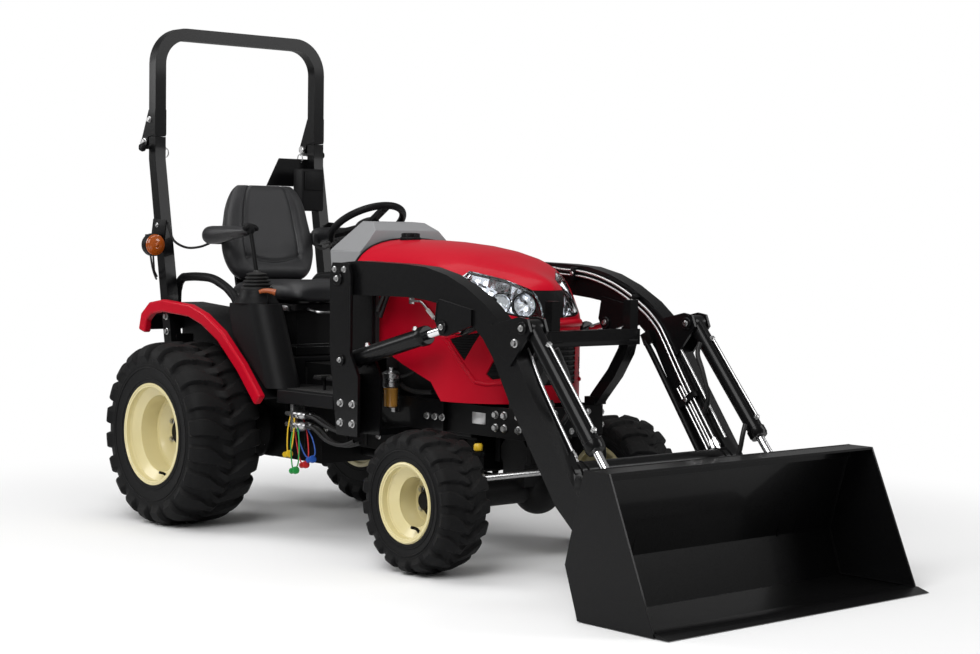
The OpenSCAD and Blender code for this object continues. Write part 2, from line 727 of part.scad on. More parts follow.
module bucket() {
  p = bucket_plate;
  color([0.05, 0.05, 0.05]) {
    slab([-bucket_w / 2 + p, bucket_w / 2 - p]) polygon(concat(bucket_back, [[bucket_lip_x - 30, 3 + p],
      [2368 + p * 0.7, 3 + p], [2311 + p, 165], [2396 + p, bucket_h]]));
    both_sides() slab([bucket_w / 2 - p, bucket_w / 2]) polygon([[2388, bucket_h], [2311, 165], [2368, 3],
      [bucket_lip_x - 50, 3], [2491, bucket_h]]);
    slab([-bucket_w / 2 + p, bucket_w / 2 - p]) polygon([[2396, bucket_h - 40], [2396, bucket_h],
      [2491, bucket_h], [2491, bucket_h - p], [2404, bucket_h - p], [2404, bucket_h - 40]]);
    for (s = [-1, 1], y = [-48, 38]) slab([s * arm_y + y, s * arm_y + y + 10]) polygon([[2172, 205],
      [2190, 178], [2318, 148], [2380, 400], [2290, 412], [2252, 396], [2180, 245]]);
    for (s = [-1, 1]) rod_y(bucket_pivot, 16, [s * arm_y - 38, s * arm_y + 38]);
  }
}

module grille_guard() {
  g = guard_x;
  color([0.06, 0.06, 0.06]) {
    block([g, g + 38], [-214, 214], [776, 830]);
    both_sides() {
      slab([158, 202]) polygon(band([[g + 20, 800], [g + 6, 752], [g - 46, 672], [g - 118, 592], [g - 133, 574]], 42));
      block([frame_front_x - 50, frame_front_x], [150, 208], [556.3, 584]);
      block([g + 2, g + 36], [166, 204], [830, 930]);
    }
  }
}

// Rear hitch

module drawbar() {
  color([0.1, 0.1, 0.1]) {
    difference() {
      block([-430, -60], [-32, 32], [223.7, 249.7]);
      translate([-395, 0, 200]) cylinder(r = drawbar_bore_d / 2, h = 80);
    }
    translate([-310, 0, 450]) rotate([0, 90, 0]) cylinder(r = pto_d / 2, h = 109.7);
    difference() {
      union() for (y = [-40, 26]) slab([y, y + 14]) polygon([[-200.3, 540], [-200.3, 598], [-260, 598],
        [-280, 575], [-260, 550]]);
      rod_y([-252, 575], top_bore_d / 2, [-60, 60]);
    }
  }
}

// Links toe outward to the rear, and each end's ball eye sits square to its link.
module link_eye(b, splay, r, h) {
  translate(b) rotate([0, 0, -splay]) rotate([90, 0, 0]) cylinder(r = r, h = h, center = true);
}

module lower_link() {
  a = [link_pivot[0], 185, link_pivot[1]];
  b = [link_end[0], 340, link_end[1]];
  splay = atan2(b[1] - a[1], a[0] - b[0]);
  difference() {
    union() {
      rod_between(a, b, 14);
      rod_y(link_pivot, 28, [168, 202]);
      link_eye(b, splay, link_eye_r, 36);
      rod_y(link_lift, 10, [218, 285]);
    }
    link_eye(b, splay, link_bore_d / 2, 80);
    rod_y(link_pivot, 12.05, [140, 260]);
  }
}

module lower_link_left() { color([0.1, 0.1, 0.1]) lower_link(); }
module lower_link_right() { color([0.1, 0.1, 0.1]) mirror([0, 1, 0]) lower_link(); }

module lift_arms() {
  color([0.1, 0.1, 0.1]) both_sides() difference() {
    union() {
      slab([196, 218]) polygon(band([rocker_pivot, rocker_end], 50));
      rod_y(rocker_pivot, 36, [172, 218]);
      rod_y(rocker_end, 25, [196, 218]);
      rod_y(rocker_end, 10, [217, 248]);
    }
    rod_y(rocker_pivot, 18.05, [140, 260]);
  }
}

module lift_links() {
  color([0.1, 0.1, 0.1]) both_sides() difference() {
    union() {
      rod_between([rocker_end[0], 234, rocker_end[1]], [link_lift[0], 234, link_lift[1] + 70], 10.5);
      rod_y(rocker_end, 24, [223, 245]);
      block([link_lift[0] - 25, link_lift[0] + 25], [223, 245], [link_lift[1] - 34, link_lift[1] + 78]);
    }
    rod_y(rocker_end, 10.05, [200, 260]);
    block([link_lift[0] - 14, link_lift[0] + 14], [200, 260], [link_lift[1] - 22, link_lift[1] + 30]);
  }
}

module fuel_filter() {
  color("silver") {
    translate([990, -246, 610]) cylinder(r = 30, h = 36);
    translate([990, -246, 520]) cylinder(r = 24, h = 91);
    block([980, 1000], [-235, -214.3], [500, 630]);
  }
}

module quick_couplers() {
  color("silver") {
    block([560, 576], [-385, -330], [400, 539.7]);
    for (y = [-372, -344], z = [425, 465]) translate([575, y, z]) rotate([0, 90, 0]) cylinder(r = 11, h = 60);
  }
}

stand() engine_block();
stand() transmission_case();
stand() rear_axle();
stand() front_frame();
stand() front_axle();
stand() driveshaft();
stand() knuckle_right();
stand() knuckle_left();
stand() tie_rod();
stand() rear_tyre_right();
stand() rear_rim_right();
stand() rear_tyre_left();
stand() rear_rim_left();
stand() front_tyre_right();
stand() front_rim_right();
stand() front_tyre_left();
stand() front_rim_left();
stand() hood();
stand() headlamps();
stand() hood_grilles();
stand() nose_panel();
stand() dash_cowl();
stand() steering_column();
stand() steering_wheel();
stand() platform();
stand() pedals();
stand() fenders();
stand() fender_covers();
stand() loader_console();
stand() joystick();
stand() seat_deck();
stand() seat_base();
stand() seat_cushion();
stand() seat_back();
stand() armrests();
stand() rops_posts();
stand() rops_hoop();
stand() turn_lamps();
stand() sign_plate();
stand() loader_towers();
stand() grille_guard();
stand() loader_boom();
stand() lift_barrels();
stand() lift_rods();
stand() curl_barrels();
stand() curl_rods();
stand() bucket();
stand() drawbar();
stand() lower_link_right();
stand() lower_link_left();
stand() lift_arms();
stand() lift_links();
stand() fuel_filter();
stand() quick_couplers();
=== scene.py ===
"""Dresses a compact loader tractor: finishes, upholstery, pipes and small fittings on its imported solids."""

import json
import math
from collections import namedtuple

import bmesh
import bpy
from mathutils import Matrix, Vector


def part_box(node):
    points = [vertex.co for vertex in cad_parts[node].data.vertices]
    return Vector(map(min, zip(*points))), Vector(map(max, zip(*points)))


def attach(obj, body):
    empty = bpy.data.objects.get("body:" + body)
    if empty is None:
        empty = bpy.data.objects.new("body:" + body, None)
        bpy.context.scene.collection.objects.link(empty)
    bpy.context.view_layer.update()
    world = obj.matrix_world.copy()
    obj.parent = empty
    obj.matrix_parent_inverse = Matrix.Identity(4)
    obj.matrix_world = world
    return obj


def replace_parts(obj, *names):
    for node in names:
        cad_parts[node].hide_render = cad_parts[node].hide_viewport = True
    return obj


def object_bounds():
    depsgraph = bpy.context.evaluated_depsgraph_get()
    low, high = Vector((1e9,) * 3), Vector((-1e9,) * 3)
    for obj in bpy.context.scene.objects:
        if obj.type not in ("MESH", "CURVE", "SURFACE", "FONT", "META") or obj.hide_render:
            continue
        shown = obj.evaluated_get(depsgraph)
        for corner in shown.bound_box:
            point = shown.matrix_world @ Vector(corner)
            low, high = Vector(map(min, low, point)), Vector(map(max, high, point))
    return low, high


bl_info = {
    "name": "Compact loader tractor",
    "version": (1, 0, 0),
    "blender": (4, 5, 0),
    "location": "3D View > Sidebar > Tractor",
    "description": "Finishes, upholstery and fittings for a compact farm tractor with a front loader",
    "category": "Object",
}

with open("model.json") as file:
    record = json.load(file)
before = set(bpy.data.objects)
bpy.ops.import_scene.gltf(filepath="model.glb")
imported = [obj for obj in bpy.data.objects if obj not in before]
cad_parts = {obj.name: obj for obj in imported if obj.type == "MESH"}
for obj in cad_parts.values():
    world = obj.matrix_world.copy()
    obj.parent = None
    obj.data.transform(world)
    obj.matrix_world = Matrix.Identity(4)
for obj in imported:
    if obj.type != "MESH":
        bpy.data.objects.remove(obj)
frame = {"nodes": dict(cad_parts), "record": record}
NODES = frame["nodes"]
CAD_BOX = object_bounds()
NODE_BODY = {n: b for b, ns in frame["record"]["behaviour"]["bodies"].items() for n in ns}
NODE_SLOT = {s["node"]: s["material_slot"] for s in frame["record"]["subparts"]}
rear_low, rear_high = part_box("rear_tyre_left")
AXLE_X = (rear_low.x + rear_high.x) / 2
SIDES = (-1, 1)
UP = (0, 0, 1)


# Places, all in millimetres: forward from the rear axle, left from the centre plane, up from the floor

def at(x, y, z):
    """A point of the drawing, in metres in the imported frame."""
    return Vector((x / 1000 + AXLE_X, y / 1000, z / 1000))


def on_side(side, points):
    """Points given for the left side, or their mirror images on the right."""
    return [(x, side * y, z) for x, y, z in points]


def span(side, near, far):
    """Two distances from the centre plane on one side, the lower first."""
    return sorted((side * near, side * far))


def ring(count, turn=0.0):
    """Angles evenly around a circle."""
    return [turn + 2 * math.pi * k / count for k in range(count)]


# Settings

def colour(name, description, default):
    """A colour that the sidebar's user can change."""
    return bpy.props.FloatVectorProperty(
        name=name, description=description, subtype="COLOR", size=3, min=0, max=1, default=default)


class TractorFinish(bpy.types.PropertyGroup):
    """Colours of the tractor's finishes."""

    red: colour("Red paint", "Hood and fender bands", (0.45, 0.0035, 0.016))
    black: colour("Black paint", "Loader, bucket and roll bar", (0.0035, 0.0035, 0.0038))
    cream: colour("Cream paint", "Rims", (0.66, 0.58, 0.31))
    rubber: colour("Tyre rubber", "Tyres", (0.0075, 0.0075, 0.0079))
    plastic: colour("Black plastic", "Platform, covers and console", (0.0055, 0.0055, 0.006))
    grey: colour("Grey plastic", "Dash cowl", (0.21, 0.212, 0.218))
    vinyl: colour("Seat vinyl", "Seat and armrests", (0.013, 0.013, 0.0145))
    amber: colour("Amber", "Turn lamps and lever knobs", (0.3, 0.06, 0.005))


class TractorSizes(bpy.types.PropertyGroup):
    """Sizes of what the dressing adds."""

    edge: bpy.props.FloatProperty(
        name="Edge radius", description="Rounding of plate and casting edges", default=0.003,
        min=0.0005, max=0.01, unit="LENGTH")
    lug_edge: bpy.props.FloatProperty(
        name="Lug edge radius", description="Rounding of the tyre lugs", default=0.0032,
        min=0.001, max=0.01, unit="LENGTH")


class TractorStage(bpy.types.PropertyGroup):
    """Floor and light."""

    floor: bpy.props.FloatProperty(
        name="Floor radius", description="Reach of the pale floor", default=30.0,
        min=5, max=60, unit="LENGTH")
    key: bpy.props.FloatProperty(
        name="Key light", description="Power of the largest lamp", default=260.0,
        min=0, max=2000, unit="POWER")


# Shader node groups

def new_group(name, inputs, outputs):
    """An empty shader group with its sockets, its input node and its output node."""
    tree = bpy.data.node_groups.new(name, "ShaderNodeTree")
    for label, kind, value in inputs:
        tree.interface.new_socket(name=label, in_out="INPUT", socket_type=kind).default_value = value
    for label, kind in outputs:
        tree.interface.new_socket(name=label, in_out="OUTPUT", socket_type=kind)
    return tree, tree.nodes.new("NodeGroupInput"), tree.nodes.new("NodeGroupOutput")


def add(tree, kind, **values):
    """A shader node with its settings. in_NAME or in_NUMBER gives an input its value, or the output
    that feeds it."""
    node = tree.nodes.new(kind)
    for key, value in values.items():
        if not key.startswith("in_"):
            setattr(node, key, value)
            continue
        label = key[3:].replace("_", " ")
        socket = node.inputs[int(label) if label.isdigit() else label]
        if isinstance(value, bpy.types.NodeSocket):
            tree.links.new(value, socket)
        else:
            socket.default_value = value
    return node


def tint_group():
    """Slow unevenness of a colour, with a dust film on faces that look up."""
    tree, source, sink = new_group(
        "tint_and_dust",
        [("Colour", "NodeSocketColor", (0.5, 0.5, 0.5, 1)), ("Spread", "NodeSocketFloat", 0.15),
         ("Scale", "NodeSocketFloat", 6.0), ("Dust", "NodeSocketFloat", 0.1),
         ("Dust colour", "NodeSocketColor", (0.3, 0.27, 0.22, 1))],
        [("Colour", "NodeSocketColor"), ("Film", "NodeSocketFloat")])
    given = source.outputs
    place = add(tree, "ShaderNodeTexCoord").outputs["Object"]
    slow = add(tree, "ShaderNodeTexNoise", in_Vector=place, in_Scale=given["Scale"], in_Detail=4.0,
               in_Roughness=0.6)
    centre = add(tree, "ShaderNodeMath", operation="SUBTRACT", in_0=slow.outputs["Fac"], in_1=0.5)
    uneven = add(tree, "ShaderNodeMath", operation="MULTIPLY_ADD", in_0=centre.outputs[0],
                 in_1=given["Spread"], in_2=1.0)
    tone = add(tree, "ShaderNodeVectorMath", operation="SCALE", in_0=given["Colour"],
               in_Scale=uneven.outputs[0])
    facing = add(tree, "ShaderNodeNewGeometry")
    split = add(tree, "ShaderNodeSeparateXYZ", in_0=facing.outputs["Normal"])
    lift = add(tree, "ShaderNodeMapRange", in_0=split.outputs["Z"], in_1=-0.2, in_2=1.0)
    speck = add(tree, "ShaderNodeTexNoise", in_Vector=place, in_Scale=55.0, in_Detail=6.0)
    film = add(tree, "ShaderNodeMath", operation="MULTIPLY", in_0=lift.outputs[0], in_1=speck.outputs["Fac"])
    weigh = add(tree, "ShaderNodeMath", operation="MULTIPLY", use_clamp=True, in_0=film.outputs[0],
                in_1=given["Dust"])
    mix = add(tree, "ShaderNodeMix", data_type="RGBA", in_0=weigh.outputs[0], in_6=tone.outputs[0],
              in_7=given["Dust colour"])
    tree.links.new(mix.outputs[2], sink.inputs["Colour"])
    tree.links.new(weigh.outputs[0], sink.inputs["Film"])
    return tree


def grain_group():
    """Fine relief: cells for hide and moulded plastic, noise for paint and castings."""
    tree, source, sink = new_group(
        "surface_grain",
        [("Cell size", "NodeSocketFloat", 400.0), ("Noise size", "NodeSocketFloat", 200.0),
         ("Cells", "NodeSocketFloat", 0.5)],
        [("Height", "NodeSocketFloat"), ("Rough", "NodeSocketFloat")])
    given = source.outputs
    place = add(tree, "ShaderNodeTexCoord").outputs["Object"]
    cell = add(tree, "ShaderNodeTexVoronoi", feature="DISTANCE_TO_EDGE", in_Vector=place,
               in_Scale=given["Cell size"])
    noise = add(tree, "ShaderNodeTexNoise", in_Vector=place, in_Scale=given["Noise size"], in_Detail=5.0,
                in_Roughness=0.65)
    round_cell = add(tree, "ShaderNodeMapRange", interpolation_type="SMOOTHSTEP",
                     in_0=cell.outputs["Distance"], in_1=0.0, in_2=0.18)
    mix = add(tree, "ShaderNodeMix", data_type="FLOAT", in_0=given["Cells"], in_2=noise.outputs["Fac"],
              in_3=round_cell.outputs[0])
    tree.links.new(mix.outputs[0], sink.inputs["Height"])
    tree.links.new(noise.outputs["Fac"], sink.inputs["Rough"])
    return tree


# Finishes

GROUPS = {}
MATERIALS = {}


def finish(name, tone, rough, rough_spread, metal=0.0, coat=0.0, coat_rough=0.05, spread=0.15, tint_scale=6.0,
           dust=0.08, bump=0.05, cell=400.0, noise=220.0, cells=0.0, depth=0.001, transmission=0.0, ior=1.5,
           specular=0.5):
    """One Principled finish with uneven colour, dust, roughness and relief from the shared groups."""
    mat = bpy.data.materials.new(name)
    mat.use_nodes = True
    tree = mat.node_tree
    shader = tree.nodes["Principled BSDF"]
    tint = add(tree, "ShaderNodeGroup", node_tree=GROUPS["tint"], in_Colour=(*tone, 1), in_Spread=spread,
               in_Scale=tint_scale, in_Dust=dust)
    grain = add(tree, "ShaderNodeGroup", node_tree=GROUPS["grain"], in_Cell_size=cell, in_Noise_size=noise,
                in_Cells=cells)
    roughness = add(tree, "ShaderNodeMapRange", in_0=grain.outputs["Rough"], in_1=0.3, in_2=0.7,
                    in_3=max(0.0, rough - rough_spread), in_4=min(1.0, rough + rough_spread))
    filmed = add(tree, "ShaderNodeMath", operation="ADD", use_clamp=True, in_0=roughness.outputs[0],
                 in_1=tint.outputs["Film"])
    tree.links.new(tint.outputs["Colour"], shader.inputs["Base Color"])
    tree.links.new(filmed.outputs[0], shader.inputs["Roughness"])
    if bump:
        relief = add(tree, "ShaderNodeBump", in_Strength=bump, in_Distance=depth,
                     in_Height=grain.outputs["Height"])
        tree.links.new(relief.outputs["Normal"], shader.inputs["Normal"])
    for label, value in (("Metallic", metal), ("Coat Weight", coat), ("Coat Roughness", coat_rough),
                         ("Transmission Weight", transmission), ("IOR", ior),
                         ("Specular IOR Level", specular)):
        shader.inputs[label].default_value = value
    MATERIALS[name] = mat


def paint_finishes(look):
    """Paint, castings and tyre rubber."""
    finish("red_gloss", look.red, 0.34, 0.04, coat=0.08, coat_rough=0.08, spread=0.06, dust=0.004, bump=0.02,
           noise=500, specular=0.06)
    finish("black_gloss", look.black, 0.3, 0.06, coat=0.12, coat_rough=0.06, spread=0.3, dust=0.004,
           bump=0.03, noise=420, specular=0.1)
    finish("black_satin", look.black, 0.42, 0.1, spread=0.3, dust=0.006, bump=0.06, noise=300, specular=0.1)
    finish("casting", look.black, 0.5, 0.12, spread=0.4, dust=0.01, bump=0.25, noise=160, depth=0.002,
           specular=0.16)
    finish("cream_paint", look.cream, 0.36, 0.06, coat=0.3, spread=0.08, dust=0.03, bump=0.03, noise=380)
    finish("tyre_rubber", look.rubber, 0.6, 0.12, spread=0.5, tint_scale=9.0, dust=0.02, bump=0.2, noise=260,
           depth=0.0015, specular=0.1)


def plastic_finishes(look):
    """Moulded plastic, hoses and upholstery."""
    finish("rubber", look.rubber, 0.5, 0.1, spread=0.2, dust=0.04, bump=0.1, noise=500, depth=0.0005,
           specular=0.35)
    finish("black_plastic", look.plastic, 0.42, 0.08, spread=0.2, dust=0.012, bump=0.18, cell=900, cells=0.6,
           depth=0.0005, specular=0.09)
    finish("grey_plastic", look.grey, 0.5, 0.06, spread=0.08, dust=0.04, bump=0.2, cell=900, cells=0.7,
           depth=0.0005)
    finish("white_plastic", (0.75, 0.75, 0.72), 0.4, 0.05, spread=0.05, dust=0.03)
    finish("amber_plastic", look.amber, 0.4, 0.05, spread=0.1, dust=0.03)
    for name, tone in (("yellow", (0.75, 0.48, 0.02)), ("red", (0.55, 0.02, 0.02)),
                       ("green", (0.02, 0.3, 0.06)), ("blue", (0.02, 0.09, 0.4))):
        finish(name + "_plastic", tone, 0.4, 0.05, spread=0.08, dust=0.03)
    finish("seat_vinyl", look.vinyl, 0.4, 0.08, spread=0.2, dust=0.01, bump=0.3, cell=420, cells=0.75,
           depth=0.0008, specular=0.4)
    finish("seat_piping", look.vinyl, 0.34, 0.05, spread=0.1, dust=0.02)


def bright_finishes(look):
    """Bare metal, lamps and clear pieces."""
    finish("bright_steel", (0.5, 0.5, 0.5), 0.3, 0.1, metal=1.0, dust=0.04)
    finish("plate", (0.6, 0.6, 0.6), 0.36, 0.06, metal=1.0, spread=0.08, dust=0.02, bump=0.03)
    finish("chrome", (0.85, 0.85, 0.86), 0.07, 0.03, metal=1.0, spread=0.03, dust=0.0, bump=0.01)
    finish("reflector", (0.82, 0.83, 0.85), 0.12, 0.04, metal=1.0, spread=0.05, dust=0.0, bump=0.02)
    finish("bulb", (0.9, 0.9, 0.86), 0.1, 0.02, coat=0.5, spread=0.03, dust=0.0, bump=0.0)
    finish("amber_lens", look.amber, 0.12, 0.03, coat=0.2, spread=0.2, dust=0.0, bump=0.0)
    finish("amber_bowl", (0.55, 0.26, 0.05), 0.1, 0.03, coat=0.4, spread=0.25, dust=0.0, bump=0.0)
    finish("lens", (0.95, 0.97, 1.0), 0.03, 0.01, transmission=1.0, ior=1.2, spread=0.02, dust=0.0, bump=0.0)


# The finish of each packed slot, and for each finish, the slot that a batch of added pieces keeps
SLOT_FINISH = {
    "black_paint": "black_gloss", "chassis_paint": "black_satin", "red_paint": "red_gloss",
    "cream_paint": "cream_paint", "cast_metal": "casting", "bright_steel": "bright_steel",
    "rod_chrome": "chrome", "tyre_rubber": "tyre_rubber", "grey_plastic": "grey_plastic",
    "black_plastic": "black_plastic", "seat_vinyl": "seat_vinyl", "lamp_clear": "lens",
    "lamp_orange": "amber_lens",
}
FINISH_SLOT = {
    "rubber": "black_plastic", "white_plastic": "grey_plastic", "seat_piping": "seat_vinyl",
    "plate": "bright_steel", "reflector": "rod_chrome", "bulb": "lamp_clear",
    "amber_plastic": "lamp_orange", "amber_bowl": "lamp_orange",
    "yellow_plastic": "lamp_orange", "red_plastic": "lamp_orange", "green_plastic": "lamp_orange",
    "blue_plastic": "lamp_orange", **{finish_name: slot for slot, finish_name in SLOT_FINISH.items()},
}


# Mesh makers

def link(name, mesh, material, body):
    """Puts a mesh into the scene, on its body and with its finish."""
    obj = bpy.data.objects.new(name, mesh)
    bpy.context.scene.collection.objects.link(obj)
    mesh.materials.clear()
    mesh.materials.append(MATERIALS[material])
    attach(obj, body)
    return obj


def is_sharp(edge, angle):
    """Whether two faces meet at an edge by more than an angle."""
    return len(edge.link_faces) == 2 and edge.calc_face_angle(0) > math.radians(angle)


def shade(bm, angle):
    """Smooth faces, with edges sharper than the angle kept hard."""
    for face in bm.faces:
        face.smooth = True
    for edge in bm.edges:
        edge.smooth = not is_sharp(edge, angle)


def slacken(bm, centre, radius, slack=0.5):
    """Draws the vertices of a pin across the machine in a little, so that its facets clear the bore's."""
    middle = at(centre[0], 0, centre[1])
    for vert in bm.verts:
        away = Vector((vert.co.x - middle.x, 0, vert.co.z - middle.z))
        if abs(away.length * 1000 - radius) < 0.02:
            vert.co -= away.normalized() * slack / 1000


def softened(node, width, segments=2, least=0.0, angle=32, cut=None):
    """A copy of a node with its flat faces joined and its edges rounded. It stands for the node.
    Edges shorter than least stay sharp, and cut = (point, normal) takes away what lies past a plane."""
    mesh = NODES[node].data.copy()
    bm = bmesh.new()
    bm.from_mesh(mesh)
    bmesh.ops.remove_doubles(bm, verts=bm.verts, dist=2e-5)
    if node == "loader_towers":
        slacken(bm, BOOM_PIVOT, PIVOT_PIN_R)
    bmesh.ops.dissolve_limit(bm, angle_limit=math.radians(0.6), verts=bm.verts, edges=bm.edges,
                             delimit={"NORMAL"})
    if cut:
        parts = list(bm.verts) + list(bm.edges) + list(bm.faces)
        got = bmesh.ops.bisect_plane(bm, geom=parts, plane_co=cut[0], plane_no=cut[1], clear_outer=True)
        rim = [e for e in got["geom_cut"] if isinstance(e, bmesh.types.BMEdge)]
        bmesh.ops.contextual_create(bm, geom=rim)
    shade(bm, angle)
    weight = bm.edges.layers.float.new("bevel_weight_edge")
    for edge in bm.edges:
        if is_sharp(edge, angle) and edge.calc_length() > least / 1000:
            edge[weight] = 1.0
    bm.to_mesh(mesh)
    bm.free()
    if "custom_normal" in mesh.attributes:
        mesh.attributes.remove(mesh.attributes["custom_normal"])
    slot = NODE_SLOT[node]
    obj = link(node + "_skin", mesh, SLOT_FINISH[slot], NODE_BODY[node])
    bevel = obj.modifiers.new("edges", "BEVEL")
    bevel.width = width / 1000
    bevel.segments = segments
    bevel.limit_method = "WEIGHT"
    bevel.use_clamp_overlap = True
    bevel.harden_normals = True
    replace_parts(obj, node)


def curve(points, steps=6):
    """Points on a smooth line through the given ones."""
    p = [at(*q) for q in points]
    last = len(p) - 1
    line = []
    for i in range(last):
        a, b, c, d = (p[min(max(i + k, 0), last)] for k in (-1, 0, 1, 2))
        for s in range(steps):
            t = s / steps
            bend = (2 * a - 5 * b + 4 * c - d) * t ** 2 + (3 * b - a - 3 * c + d) * t ** 3
            line.append(0.5 * (2 * b + (c - a) * t + bend))
    return line + [p[-1]]


def spread(line, steps):
    """More points along a line of pairs, evenly between its corners."""
    dense = []
    for a, b in zip(line, line[1:]):
        dense += [(a[0] + (b[0] - a[0]) * k / steps, a[1] + (b[1] - a[1]) * k / steps) for k in range(steps)]
    return dense + [line[-1]]


def step_at(x, low, high):
    """A smooth step from 0 at low to 1 at high."""
    t = min(1.0, max(0.0, (x - low) / (high - low)))
    return t * t * (3 - 2 * t)


def bump_at(x, centre, width):
    """A smooth bump of height 1."""
    return math.exp(-((x - centre) / width) ** 2)


def sized(size, share):
    """A size, or what a function gives for it at a share of the way along."""
    return size(share) if callable(size) else size


class Batch:
    """Small solids of one finish on one body, gathered into one piece. Sizes are in millimetres."""

    def __init__(self, name, material, body, slot=None):
        self.name, self.material, self.body = name, material, body
        self.slot = slot or FINISH_SLOT[material]
        self.bm = bmesh.new()

    def skin(self, rows, loop=False):
        """Faces between rows of points. A row of one point closes an end."""
        made = [[self.bm.verts.new(p) for p in row] for row in rows]
        for a, b in list(zip(made, made[1:])) + ([(made[-1], made[0])] if loop else []):
            n = max(len(a), len(b))
            for i in range(n):
                j = (i + 1) % n
                corners = []
                for v in (a[i % len(a)], a[j % len(a)], b[j % len(b)], b[i % len(b)]):
                    if v not in corners:
                        corners.append(v)
                if len(corners) > 2:
                    self.bm.faces.new(corners)

    def lathe(self, origin, axis, profile, segments=32, turn=0.0):
        """A turned shape. Its profile is given as radius and height along the axis."""
        axis = Vector(axis).normalized()
        u = axis.orthogonal().normalized()
        v = axis.cross(u)
        rows = []
        for r, h in profile:
            c = at(*origin) + axis * (h / 1000)
            circle = [c + (u * math.cos(a) + v * math.sin(a)) * (r / 1000) for a in ring(segments, turn)]
            rows.append(circle if r > 0 else [c])
        self.skin(rows)

    def sweep(self, path, radius, sides=10, closed=False, squeeze=1.0):
        """A bar along a line of points. radius, and squeeze, its width as a share of its height,
        are sizes, or functions of the share of the way along."""
        rows = []
        n = len(path)
        up = None
        for i, p in enumerate(path):
            a = path[i - 1] if i or closed else p
            b = path[(i + 1) % n] if i < n - 1 or closed else p
            t = (b - a).normalized()
            if up is None:
                up = t.cross(Vector(UP)).cross(t) + t.orthogonal() * 1e-4
            else:
                up = up - t * up.dot(t)
            up.normalize()
            side = t.cross(up)
            high = sized(radius, i / (n - 1)) / 1000
            wide = high * sized(squeeze, i / (n - 1))
            rows.append([p + up * (math.cos(w) * high) + side * (math.sin(w) * wide) for w in ring(sides)])
        if not closed:
            rows = [[path[0]]] + rows + [[path[-1]]]
        self.skin(rows, closed)

    def tube(self, points, radius, sides=10, steps=6):
        """A bent round bar through a few points."""
        self.sweep(curve(points, steps), radius, sides)

    def hoop(self, x, y, z, radius, thick, steps=72):
        """A round bar bent to a ring about an axis across the machine."""
        path = [at(x + radius * math.cos(a), y, z + radius * math.sin(a)) for a in ring(steps)]
        self.sweep(path, thick, 8, closed=True)

    def bar(self, a, b, radius, sides=12):
        """A straight round bar."""
        self.sweep([at(*a), at(*b)], radius, sides)

    def bead(self, points, radius, pitch=6.0):
        """A weld bead with its ripples."""
        path = curve(points, 30)
        length = sum((b - a).length for a, b in zip(path, path[1:])) * 1000
        self.sweep(path, lambda s: radius * (1 + 0.16 * math.sin(2 * math.pi * s * length / pitch)), 8)

    def bolt(self, p, axis, across=19.0, height=11.0, turn=0.3):
        """A bolt's head on its washer."""
        r = across / math.sqrt(3)
        self.lathe(p, axis, [(across * 0.74, 0), (across * 0.74, 2.0), (across * 0.68, 2.6), (0, 2.6)], 20)
        self.lathe(p, axis, [(r, 2.0), (r, height * 0.82), (r * 0.87, height), (0, height)], 6, turn)

    def pin(self, p, axis, radius, height):
        """A pin's head with a chamfer."""
        self.lathe(p, axis, [(radius, 0), (radius, height - 2), (radius - 2, height), (0, height)], 24)

    def prism(self, outline, low, high, bevel=1.5, plane="xz", segments=2):
        """An outline carried from low to high across its plane, with rounded edges."""
        place = {"xz": lambda a, b, d: at(a, d, b), "yz": lambda a, b, d: at(d, a, b)}[plane]
        foot, head = ([self.bm.verts.new(place(a, b, d)) for a, b in outline] for d in (low, high))
        n = len(outline)
        faces = [self.bm.faces.new(foot), self.bm.faces.new(head)]
        for i in range(n):
            j = (i + 1) % n
            faces.append(self.bm.faces.new([foot[i], foot[j], head[j], head[i]]))
        bmesh.ops.recalc_face_normals(self.bm, faces=faces)
        bmesh.ops.bevel(self.bm, geom=list({e for f in faces for e in f.edges}), offset=bevel / 1000,
                        segments=segments, profile=0.5, affect="EDGES", clamp_overlap=True)

    def block(self, x, y, z, bevel=1.5, segments=2):
        """A box between pairs of limits."""
        corners = [(x[0], z[0]), (x[1], z[0]), (x[1], z[1]), (x[0], z[1])]
        self.prism(corners, y[0], y[1], bevel, "xz", segments)

    def done(self, sharp=38):
        """Makes the piece, and gives back its object."""
        bmesh.ops.recalc_face_normals(self.bm, faces=self.bm.faces)
        shade(self.bm, sharp)
        mesh = bpy.data.meshes.new(self.name)
        self.bm.to_mesh(mesh)
        self.bm.free()
        return link(self.name, mesh, self.material, self.body)


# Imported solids

BOOM_PIVOT = (928, 985)
PIVOT_PIN_R = 20
DASH_BACK = 778

# How far each node's edges are rounded: radius, segments, shortest edge, radius and edge in millimetres
ROUNDING = {
    "hood": (2.5, 2, 0), "headlamps": (1.5, 2, 0), "hood_grilles": (1, 1, 0), "nose_panel": (2, 2, 0),
    "loader_console": (6, 3, 0), "fenders": (9, 3, 6), "fender_covers": (4, 2, 0), "platform": (5, 2, 0),
    "rops_posts": (6, 3, 8), "rops_hoop": (7, 3, 8), "loader_boom": (4, 2, 0), "loader_towers": (2, 2, 0),
    "bucket": (1.5, 2, 0), "grille_guard": (5, 2, 4), "seat_deck": (5, 2, 0), "seat_base": (8, 3, 0),
    "steering_wheel": (4, 2, 6), "sign_plate": (1, 1, 0), "engine_block": (8, 2, 0),
    "transmission_case": (8, 3, 20), "front_frame": (2, 2, 0), "pedals": (3, 2, 0), "drawbar": (3, 2, 4),
}
MADE_ANEW = ("seat_cushion", "seat_back", "joystick", "turn_lamps", "armrests", "rear_tyre_left",
             "rear_tyre_right", "front_tyre_left", "front_tyre_right")


